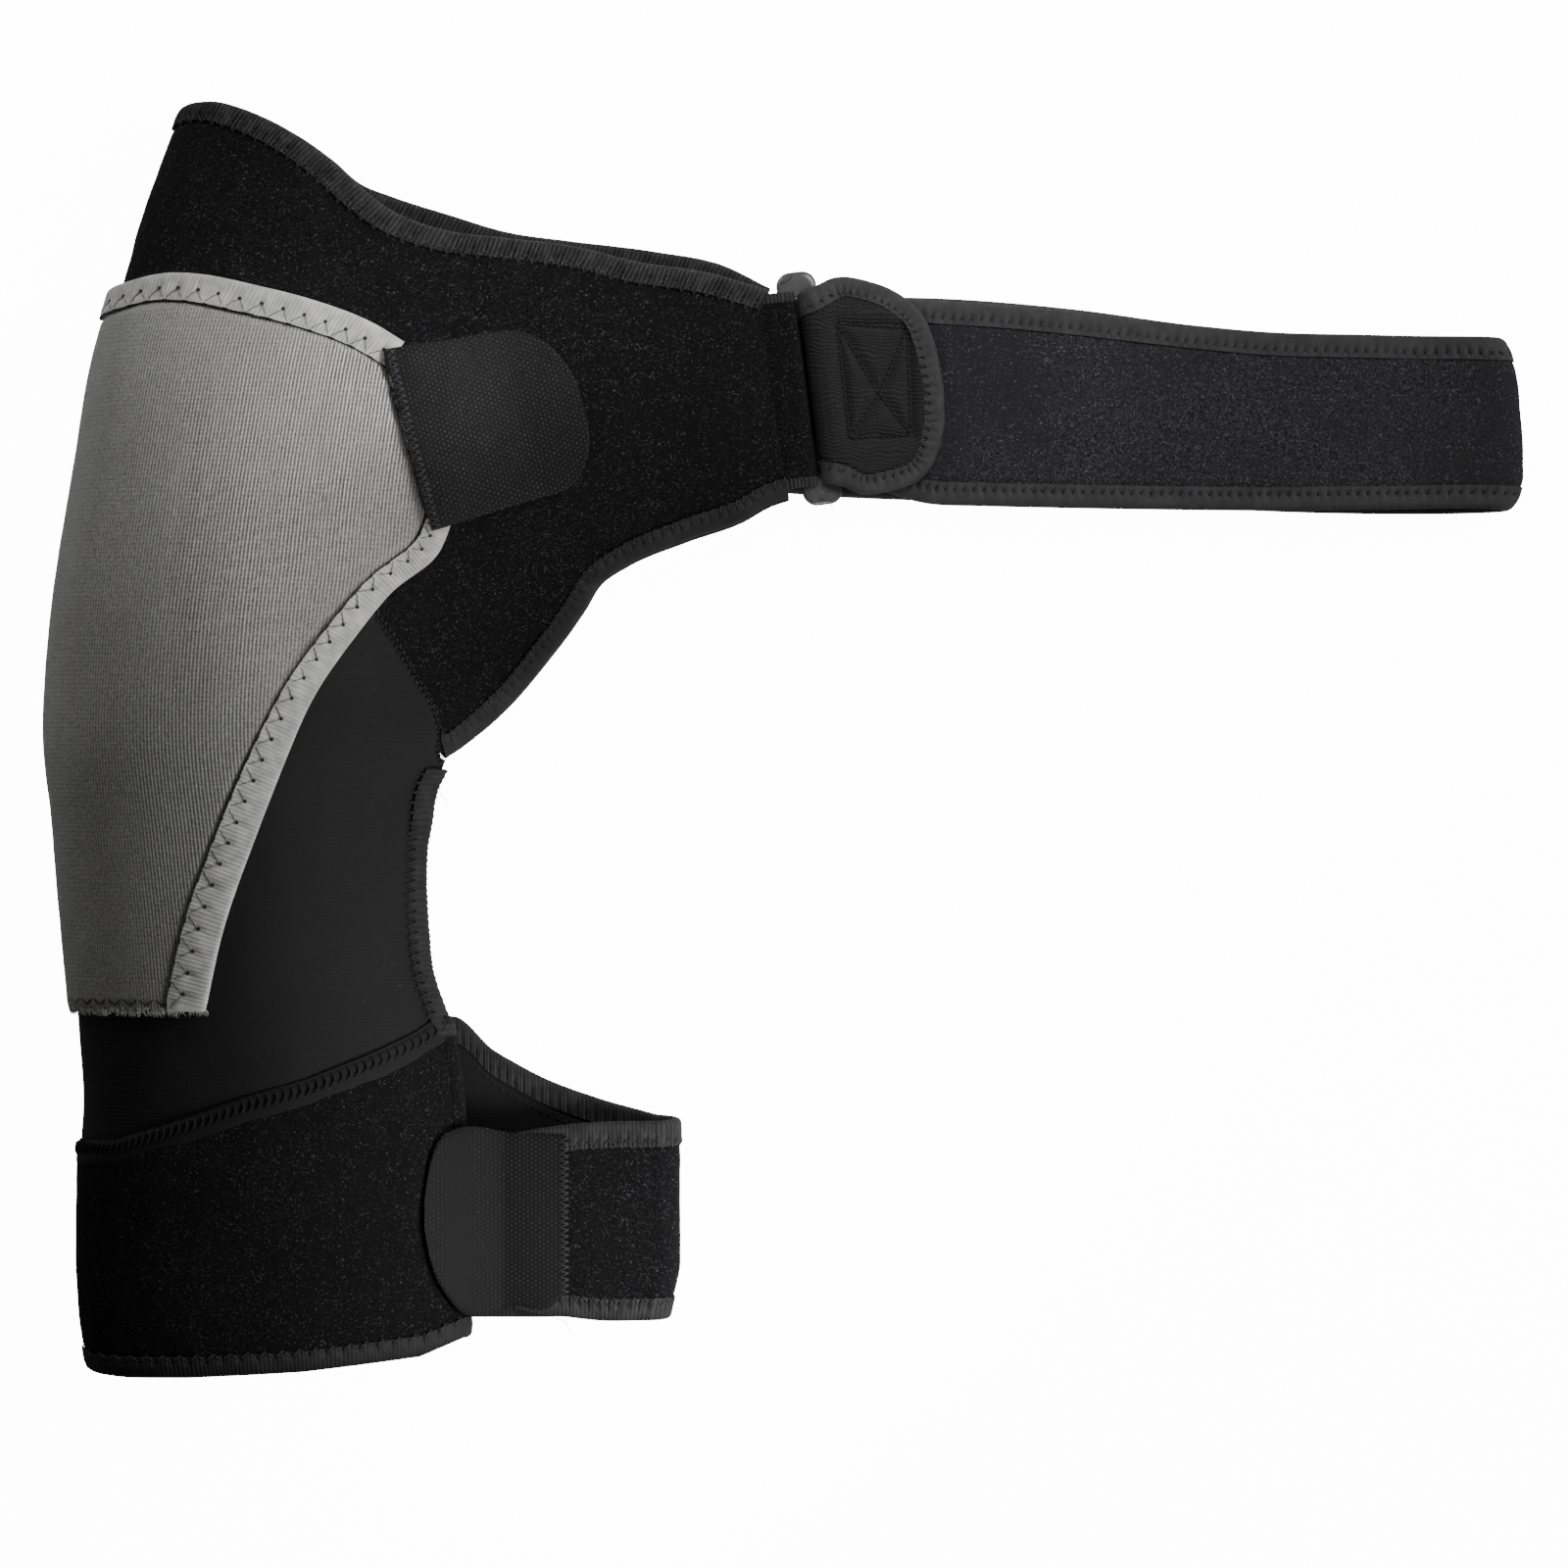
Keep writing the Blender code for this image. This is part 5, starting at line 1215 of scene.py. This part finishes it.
def strap_path():
    """The strap's middle line from the back wing round the right fold to the flap's end: how far along each point
    lies, its x and z, where the back, fold, front and ring's turn end, and the x at which the front begins."""
    right = STRAP_RIGHT - STRAP_WALL / 2
    radius = (read(STRAP_WAVE, 1, 297.0) - STRAP_LOW) / 2
    x = np.linspace(-27, right - radius, 240)
    back = vectors(x, STRAP_LOW + 5.1 * (1 - ease((x - 4) / 30)))
    loop = right_fold(right - radius, radius, 41)
    x = np.linspace(right - radius, BAR_X, 280)
    front = vectors(x, read(STRAP_WAVE, 1, x))
    front[:, 1] += (RING_CENTRE[2] - BAR_TURN - front[-1, 1]) * ease((40 - x) / 22)
    turn = np.linspace(-np.pi / 2, -3 * np.pi / 2, 31)[1:-1]
    wrap = vectors(BAR_X + BAR_TURN * np.cos(turn), RING_CENTRE[2] + BAR_TURN * np.sin(turn))
    x = np.linspace(BAR_X, 69.5, 80)
    rest = read(STRAP_WAVE, 1, x) + STRAP_BINDING + 0.35
    flap = vectors(x, np.maximum(rest, RING_CENTRE[2] + BAR_TURN - 5.2 * ease((x - BAR_X) / 50)))
    line = np.concatenate([back, loop, front, wrap, flap])
    s = run_of(line)
    marks = s[np.cumsum([len(part) for part in (back, loop, front, wrap)]) - 1]
    return s, line, marks, line[len(back) + len(loop), 0]


def near_segment(x, y, start, end):
    """How far points lie from a straight line between two others."""
    along = np.asarray(end, float) - start
    t = np.clip(((x - start[0]) * along[0] + (y - start[1]) * along[1]) / along.dot(along), 0, 1)
    return np.hypot(x - start[0] - t * along[0], y - start[1] - t * along[1])


def flap_seams(x, y):
    """How far points lie from the box and cross sewn through the flap."""
    return np.minimum.reduce([near_segment(x, y, a, b) for a, b in FLAP_SEAMS])


def make_chest_strap(stitching):
    """The strap, loop cloth outside and jersey inside, whose inside shows on the flap, and the one tape that runs up
    an edge, round the flap and down the other. The flap is pressed in along its sewn box and cross."""
    s, line, marks, fold_x = strap_path()
    back_end, loop_end, front_end, wrap_end = marks
    top, low = [], []
    for table, start, sign, from_x in (
        (STRAP_BACK, 0.0, 1, -27.0), (STRAP_FRONT, loop_end, -1, fold_x), (FLAP, wrap_end, 1, BAR_X),
    ):
        at = start + sign * (table[:, 0] - from_x)
        top.append(vectors(at, table[:, 1]))
        low.append(vectors(at, table[:, 2]))
    top, low = np.concatenate(top), np.concatenate(low)
    end = top[-1, 0]

    def lean(at):
        return -RING_LEAN * ease((at - (front_end - 45)) / 40) * (1 - 0.75 * ease((at - wrap_end) / 50))

    def surface(at, y):
        x, z = (np.interp(at, s, values) for values in line.T)
        near = ease((at - back_end + 45) / 45) * (1 - ease((at - loop_end) / 45))
        x = x - near * read(FOLD_IN, 1, y)
        return vectors(x + lean(at) * (y - RING_CENTRE[1]), y, z)

    def on_strap(at, y, off):
        x, z = (np.interp(at + 1, s, values) - np.interp(at - 1, s, values) for values in line.T)
        return surface(at, y) - unit(vectors(-z, 0, x)) * np.asarray(off)[..., None]

    run = np.concatenate([
        np.linspace(0, back_end, 260)[:-1], np.linspace(back_end, loop_end, 46)[:-1],
        np.linspace(loop_end, front_end, 420)[:-1], np.linspace(front_end, wrap_end, 30)[:-1],
        np.linspace(wrap_end, end - 20, 60)[:-1], end - 20 * (1 - np.sin(np.linspace(0, np.pi / 2, 60))),
    ])
    edge = np.concatenate([vectors(run, read(low, 1, run)), vectors(run, read(top, 1, run))[::-1]])
    round_it = run_of(edge) / run_of(edge)[-1]
    edge = at_shares(edge, np.interp(np.linspace(0, 1, STRAP_STATIONS), round_it, np.linspace(0, 1, len(edge))))
    wide = 10.0 - 1.5 * ease((edge[:, 0] - wrap_end + 10) / 20)
    inner = inset(edge, -wide)
    pitch = stitching.tape_pitch / MM
    tape("strap_tape", on_strap, edge, inner, STRAP_BINDING / 2 + 0.1, -STRAP_BINDING / 2 - 0.1, "smooth_tape",
         rib=(1.2, 0.02), press=(pitch, 0.66, 0.17, 1.35), seed=71)
    for side, face in (("outer", 1), ("inner", -1)):
        zigzag(f"strap_stitches_{side}", on_strap, edge, inner, pitch=pitch, near=1.04, far=0.62,
               off=face * (STRAP_BINDING / 2 - 0.1), radius=0.25, finish="black_thread", lift=0.1, face=face)
    panel = inset(edge, -wide + 1.5)
    half = len(panel) // 2
    low_line, top_line = panel[:half], panel[half:][::-1]
    stop = min(low_line[-1, 0], top_line[-1, 0])
    at = np.concatenate([np.linspace(0, wrap_end, 250)[:-1], np.linspace(wrap_end, stop - 0.4, 76)])
    a, y, edge_at = across_strap(at, np.interp(at, *low_line.T), np.interp(at, *top_line.T), crowded(52, 0.4))
    dip = 0.55 * bell(edge_at, 2.4)
    uneven = 0.2 * ripple(a, y, 50, 72) + 0.08 * ripple(a, y, 13, 73)
    x = surface(a, y)[..., 0]
    seams = flap_seams(x, y) + 200 * (a < wrap_end + 1)
    press = 1.5 * bell(seams, 2.2) - 0.45 * bell(seams - 6, 4)
    # The strap's outside is the lighter copy of the loop cloth: painted light.
    shell("strap", on_strap(a, y, STRAP_WALL / 2 - dip + uneven),
          on_strap(a, y, dip + press - STRAP_WALL / 2 - 0.3 * uneven), vectors(a, y),
          ["strap_loop_nylon", "flap_jersey"])
    sew_flap(surface, on_strap, wrap_end)


def sew_flap(surface, on_strap, wrap_end):
    """Short running stitches along the flap's box and cross, 2.6 mm long with a gap between."""
    starts, stops = [], []
    for a, b in FLAP_SEAMS:
        count = max(2, round(np.linalg.norm(b - a) / 2.9))
        t = np.arange(count)[:, None] / count
        starts.append(a + (b - a) * (t + 0.08 / count))
        stops.append(a + (b - a) * (t + 0.86 / count))
    starts, stops = np.concatenate(starts), np.concatenate(stops)

    def place(points, off):
        x, y = points[:, 0], points[:, 1]
        at = wrap_end + x - BAR_X
        lean = surface(at, y)[:, 0] - x
        return on_strap(at - lean, y, off)

    normal = place((starts + stops) / 2, -1.6) - place((starts + stops) / 2, -0.6)
    lines = stitch_lines(place(starts, -0.75), place(stops, -0.75), normal, 0.25, 0.35)
    threads("flap_stitches", lines, normal, radius=0.3, finish="dark_thread")


def ring_frame(across, along, z):
    """A point given across and along the leaning ring."""
    size = np.hypot(1, RING_LEAN)
    x = RING_CENTRE[0] + (across - along * RING_LEAN) / size
    y = RING_CENTRE[1] + (across * RING_LEAN + along) / size
    return vectors(x, y, z)


def rounded(half_x, half_y, radius, n):
    """A rounded rectangle, n points to a corner and as many along each side."""
    turn = np.linspace(0, np.pi / 2, n)
    parts = []
    for k, (sx, sy) in enumerate(((1, 1), (-1, 1), (-1, -1), (1, -1))):
        angle = turn + k * np.pi / 2
        parts.append(vectors(sx * (half_x - radius), sy * (half_y - radius))
                     + radius * vectors(np.cos(angle), np.sin(angle)))
    line = []
    for k in range(4):
        t = np.linspace(0, 1, n + 2)[1:-1, None]
        line += [parts[k], parts[k][-1:] * (1 - t) + parts[(k + 1) % 4][:1] * t]
    return np.concatenate(line)


def make_ring():
    """The glossy ring: a superellipse section, with the mould's parting line as a fine raised lip at mid height."""
    outer = rounded(RING_ACROSS / 2, RING_LONG / 2, 6.0, 16)
    hole = rounded(RING_ACROSS / 2 - RING_BAR, RING_LONG / 2 - RING_END - 4.6, 2.0, 16)
    turn = np.linspace(0, 2 * np.pi, 25)[:-1]
    share = 0.5 - 0.5 * np.sign(np.cos(turn)) * np.abs(np.cos(turn)) ** 0.7
    level = np.sign(np.sin(turn)) * np.abs(np.sin(turn)) ** 0.7
    lip = 0.012 * (np.abs(np.cos(turn)) > 0.999) * np.sign(np.cos(turn))
    at = outer[:, None] + (hole - outer)[:, None] * (share - lip)[:, None]
    rings = ring_frame(at[..., 0], at[..., 1], RING_CENTRE[2] + level * RING_BAR / 2)
    sweep("ring", rings, vectors(run_of(outer)[:, None], turn * 2), "moulded_gloss_plastic", closed=True)


def make_ring_loop():
    """The wing's tongue that wraps the ring's left bar, with its ribbed edges."""
    turn_r = RING_BAR / 2 + 0.7 + LOOP_WALL / 2
    bar = -RING_BAR_AT
    turn = np.linspace(np.pi / 2, -np.pi / 2, 25)
    x = np.linspace(-21, bar, 40)[:-1]
    wing = 24.35 - 0.15
    top = vectors(x, wing + (turn_r + RING_CENTRE[2] - wing) * ease((x + 13.4) / 7.1))
    wrap = vectors(bar + turn_r * np.cos(turn), RING_CENTRE[2] + turn_r * np.sin(turn))
    x = np.linspace(bar, -40, 26)[1:]
    under = vectors(x, RING_CENTRE[2] - turn_r + 1.6 * ease((bar - x) / 34))
    line = np.concatenate([top, wrap, under])
    step = unit(np.gradient(line, axis=0))
    normal = vectors(-step[:, 1], step[:, 0])
    share = crowded(56, 0.6) * 2 - 1
    run = run_of(line)
    half = 41.3 - 2.0 * ease((run - run[len(top) + 12]) / 20) + 1.4 * ease((10 - run) / 5)
    along = half[:, None] * share
    from_edge = half[:, None] * (1 - np.abs(share))
    layers = []
    for side in (1, -1):
        off = side * (LOOP_WALL / 2 - 0.9 * bell(from_edge, 1.1))
        at = line[:, None] + normal[:, None] * off[..., None]
        layers.append(ring_frame(at[..., 0], along, at[..., 1]))
    shell("ring_tongue", *layers, vectors(run[:, None], along), ["brushed_loop_nylon", "black_jersey"])
    fine = np.linspace(0, run[len(top) + 16], 130)
    x, z, nx, nz = (np.interp(fine, run, values)[:, None] for values in (*line.T, *normal.T))
    ribs = 0.16 * np.cos(2 * np.pi * fine / 1.6)[:, None]
    for name, side in (("upper", 1), ("lower", -1)):
        in_line = side * (37.4 + 0.4 * ripple(fine, 0, 12, 66)[:, None])
        out_line = side * (np.interp(fine, run, half)[:, None] + 0.35)
        share = np.linspace(0, 1, 14)
        along = in_line + (out_line - in_line) * share
        bulge = np.sqrt(np.clip(1 - (2 * share - 1) ** 4, 0, 1))
        layers = [ring_frame(x + nx * off, along, z + nz * off) for off in (
            LOOP_WALL / 2 + 0.55 * bulge + ribs * bulge - 0.25, LOOP_WALL / 2 - 1.0 - 1.6 * (share > 0.9) * bulge)]
        shell(f"ring_tongue_{name}_edge", *layers, vectors(fine[:, None] * RIB / 1.6, along), ["black_tape"])


# Cuff strap

def make_cuff_strap(stitching):
    """The cuff's strap from behind the cuff, round its right fold and back over the front, with its two tapes."""
    radius = (CUFF_STRAP_MIDDLE - STRAP_LOW) / 2
    right = CUFF_STRAP_RIGHT - STRAP_WALL / 2
    x = np.linspace(-151.5, right - radius, 90)
    back = vectors(x, STRAP_LOW + 1.9 * ease((-143 - x) / 8.5))
    loop = right_fold(right - radius, radius, 34)
    x = np.linspace(right - radius, -114, 60)
    front = vectors(x, CUFF_STRAP_MIDDLE + 0.8 * np.sin((x - right) / 18))
    line = np.concatenate([back, loop, front])
    run = run_of(line)
    edges = []
    for k in (1, 2):
        rear = read(CUFF_STRAP_BACK, k, back[:, 0])
        fore = read(CUFF_STRAP_FRONT, k, front[:, 0])
        mid = rear[-1] + (fore[0] - rear[-1]) * np.linspace(0, 1, len(loop) + 2)[1:-1]
        edges.append(np.concatenate([rear, mid, fore]))
    top, low = edges
    top = top + 9.0 * ease((-124 - line[:, 0]) / 17) * (run < 40)
    step = unit(np.gradient(line, axis=0))

    def on_band(at, y, off):
        px, pz, sx, sz = (np.interp(at, run, values) for values in (*line.T, *step.T))
        x = px + sz * off
        x = x - 4.5 * ease((-222 - y) / 26) * ease((x + 85) / 38)
        return vectors(x, y, pz - sx * off)

    wide_top, wide_low = 11.0, 9.5
    fine = np.linspace(0, run[-1], 560)
    top_line, low_line = (vectors(fine, np.interp(fine, run, values)) for values in (top, low))
    pitch = stitching.tape_pitch / MM
    tapes = (
        ("upper", top_line, top_line - (0, wide_top), 81), ("lower", low_line, low_line + (0, wide_low), 83),
    )
    for side, edge, inner, seed in tapes:
        tape(f"cuff_strap_{side}_tape", on_band, edge, inner, STRAP_BINDING / 2 + 0.1,
             -STRAP_BINDING / 2 - 0.1, "black_tape", rib=(1.7, 0.2), press=(pitch, 0.72, 0.18, 0.8), seed=seed)
        zigzag(f"cuff_strap_{side}_stitches", on_band, edge, inner, pitch=pitch, near=1.06, far=0.66,
               off=STRAP_BINDING / 2 + 0.1, radius=0.27, finish="black_thread")
    at = np.linspace(0, run[-1], 124)
    top_y, low_y = np.interp(at, run, top) - wide_top + 1.5, np.interp(at, run, low) + wide_low - 1.5
    a, y, edge_at = across_strap(at, low_y, top_y, crowded(48, 0.5))
    dip = 0.5 * bell(edge_at, 2.4)
    uneven = 0.2 * ripple(a, y, 42, 85) + 0.08 * ripple(a, y, 13, 86)
    shell("cuff_band", on_band(a, y, STRAP_WALL / 2 - dip + uneven), on_band(a, y, dip - STRAP_WALL / 2),
          vectors(a, y), ["brushed_loop_nylon", "black_jersey"])
    dots = np.linspace(20, 92, 22)
    dot_y = np.interp(dots, run, top) - wide_top - 4
    ends = vectors(dots, dot_y), vectors(dots + 1.6, dot_y - 0.6)
    start, stop = (on_band(*p.T, -STRAP_WALL / 2 - 0.1) for p in ends)
    normal = np.tile((0.0, 0.0, 1.0), (len(dots), 1))
    threads("cuff_band_stitches", stitch_lines(start, stop, normal, 0.25, 0.2), normal, radius=0.28,
            finish="dark_thread")


def make_cuff_tab():
    """The hook tab at the cuff strap's end, lying over on to the cuff."""
    right = CUFF_STRAP_RIGHT - STRAP_WALL / 2
    share = np.linspace(0, 1, TAB_GRID)
    x = -92.5 - 59.1 * (1 - (1 - share) ** 1.3)
    up, down = read(CUFF_TAB, 1, x), read(CUFF_TAB, 2, x)
    y = down[:, None] + (up - down)[:, None] * share
    jag = 0.9 * ripple(y, 0, 3.4, 91) + 0.5 * ripple(y, 0, 13, 92)
    a = x[:, None] + jag * ease((x[:, None] + 98) / 5.5)

    def on_tab(x, y, off):
        rest = CUFF_STRAP_MIDDLE + 0.8 * np.sin((x - right) / 18) + STRAP_BINDING / 2 + 0.4
        return vectors(x, y, rest + 13.7 * np.clip((-118 - x) / 34, 0, 1) ** 1.35 + off)

    make_tab("cuff", on_tab, a, y, down, up, uneven=0.12, size=30, seed=93, rail=vectors(-92.0, -169 - 68 * share),
             shifts=(0.6, -3.6), pitch=2.6)


# Stage

def area_light(name, place, target, side, power, spread):
    """A square soft light that faces a point. Places are metres."""
    data = bpy.data.lights.new(name, "AREA")
    data.size = side
    data.energy = power
    data.spread = spread
    light = bpy.data.objects.new(name, data)
    light.location = place
    light.rotation_euler = (Vector(target) - Vector(place)).to_track_quat("-Z", "Y").to_euler()
    light.visible_camera = False
    bpy.context.scene.collection.objects.link(light)


def make_stage(stage, glow):
    """A white floor under a white surround, the camera straight above, and six soft lights: the key at the right, one
    at the upper left, one at the left, small ones over the chest and below the arm, and a gridded one whose mirror
    image lies in the cover. The surround's glow is seen and lights nothing, as the floor's."""
    half = FLOOR_HALF
    mesh = bpy.data.meshes.new("floor")
    mesh.from_pydata([(-half, -half, 0), (half, -half, 0), (half, half, 0), (-half, half, 0)], [], [(0, 1, 2, 3)])
    mesh.materials.append(bpy.data.materials["pale_paper"])
    floor = bpy.data.objects.new("floor", mesh)
    bpy.context.scene.collection.objects.link(floor)
    data = bpy.data.cameras.new("camera")
    data.lens = stage.lens
    data.sensor_width = 36.0
    data.clip_end = VIEW_END
    camera = bpy.data.objects.new("camera", data)
    camera.location = (-0.0011, -0.0204, stage.height)
    bpy.context.scene.collection.objects.link(camera)
    bpy.context.scene.camera = camera
    world = bpy.data.worlds.new("light_tent")
    world.use_nodes = True
    tree = world.node_tree
    surround = tree.nodes["Background"]
    surround.inputs["Color"].default_value = (1, 1, 1, 1)
    seen = add_node(tree, "LightPath", out="Is Camera Ray")
    strength = add_node(tree, "Math", {0: seen, 1: glow, 2: stage.sky}, **TIMES_ADD)
    tree.links.new(strength, surround.inputs["Strength"])
    bpy.context.scene.world = world
    for name, place, target, side, spread in LIGHTS:
        area_light(name, place, target, side, getattr(stage, name), spread)


# Operators and panel

class BRACE_OT_materials(bpy.types.Operator):
    """Make the finishes"""
    bl_idname = "brace.materials"
    bl_label = "Finishes"

    def execute(self, context):
        make_materials(context.scene.brace_looks)
        return {"FINISHED"}


class BRACE_OT_shoulder_panel(bpy.types.Operator):
    """Make the folded shoulder panel"""
    bl_idname = "brace.shoulder_panel"
    bl_label = "Shoulder panel"

    def execute(self, context):
        make_shoulder_panel(context.scene.brace_stitching)
        return {"FINISHED"}


class BRACE_OT_edge_tapes(bpy.types.Operator):
    """Make the tapes round the neck and wings"""
    bl_idname = "brace.edge_tapes"
    bl_label = "Edge tapes"

    def execute(self, context):
        make_edge_tapes(context.scene.brace_stitching)
        return {"FINISHED"}


class BRACE_OT_sleeve(bpy.types.Operator):
    """Make the sleeve, its underarm tape and armhole stitches"""
    bl_idname = "brace.sleeve"
    bl_label = "Sleeve"

    def execute(self, context):
        make_sleeve(context.scene.brace_stitching)
        return {"FINISHED"}


class BRACE_OT_cuff(bpy.types.Operator):
    """Make the cuff"""
    bl_idname = "brace.cuff"
    bl_label = "Cuff"

    def execute(self, context):
        make_cuff(context.scene.brace_stitching)
        return {"FINISHED"}


class BRACE_OT_cover(bpy.types.Operator):
    """Make the grey cover, its tapes and its hook tab"""
    bl_idname = "brace.cover"
    bl_label = "Cover"

    def execute(self, context):
        make_cover(context.scene.brace_stitching)
        make_cover_tab()
        return {"FINISHED"}


class BRACE_OT_chest_strap(bpy.types.Operator):
    """Make the chest strap and its flap"""
    bl_idname = "brace.chest_strap"
    bl_label = "Chest strap"

    def execute(self, context):
        make_chest_strap(context.scene.brace_stitching)
        return {"FINISHED"}


class BRACE_OT_ring(bpy.types.Operator):
    """Make the ring and the tongue round its bar"""
    bl_idname = "brace.ring"
    bl_label = "Ring"

    def execute(self, context):
        make_ring()
        make_ring_loop()
        return {"FINISHED"}


class BRACE_OT_cuff_strap(bpy.types.Operator):
    """Make the cuff strap and its hook tab"""
    bl_idname = "brace.cuff_strap"
    bl_label = "Cuff strap"

    def execute(self, context):
        make_cuff_strap(context.scene.brace_stitching)
        make_cuff_tab()
        make_hairs()
        return {"FINISHED"}


class BRACE_OT_stage(bpy.types.Operator):
    """Make the floor, lights and camera"""
    bl_idname = "brace.stage"
    bl_label = "Stage"

    def execute(self, context):
        make_stage(context.scene.brace_stage, context.scene.brace_looks.floor_glow)
        return {"FINISHED"}


class BRACE_PT_panel(bpy.types.Panel):
    """The brace's pieces and settings"""
    bl_label = "Shoulder brace"
    bl_idname = "BRACE_PT_panel"
    bl_space_type = "VIEW_3D"
    bl_region_type = "UI"
    bl_category = "Brace"

    def draw(self, context):
        for settings in (context.scene.brace_looks, context.scene.brace_stitching, context.scene.brace_stage):
            box = self.layout.box()
            for name in settings.__annotations__:
                box.prop(settings, name)
        for operator in OPERATORS:
            self.layout.operator(operator.bl_idname)


SETTINGS = (("brace_looks", BraceLooks), ("brace_stitching", BraceStitching), ("brace_stage", BraceStage))
OPERATORS = (
    BRACE_OT_materials, BRACE_OT_shoulder_panel, BRACE_OT_edge_tapes, BRACE_OT_sleeve, BRACE_OT_cuff,
    BRACE_OT_cover, BRACE_OT_chest_strap, BRACE_OT_ring, BRACE_OT_cuff_strap, BRACE_OT_stage,
)


def register():
    """Registers the classes and hangs their settings on the scene."""
    for name, group in SETTINGS:
        bpy.utils.register_class(group)
        setattr(bpy.types.Scene, name, bpy.props.PointerProperty(type=group))
    for item in (*OPERATORS, BRACE_PT_panel):
        bpy.utils.register_class(item)


def unregister():
    """Takes away what register added."""
    for item in (BRACE_PT_panel, *OPERATORS[::-1]):
        bpy.utils.unregister_class(item)
    for name, group in SETTINGS[::-1]:
        delattr(bpy.types.Scene, name)
        bpy.utils.unregister_class(group)


def main():
    """Makes every piece through its operator."""
    register()
    for operator in OPERATORS:
        group, name = operator.bl_idname.split(".")
        getattr(getattr(bpy.ops, group), name)()


if __name__ == "__main__":
    main()
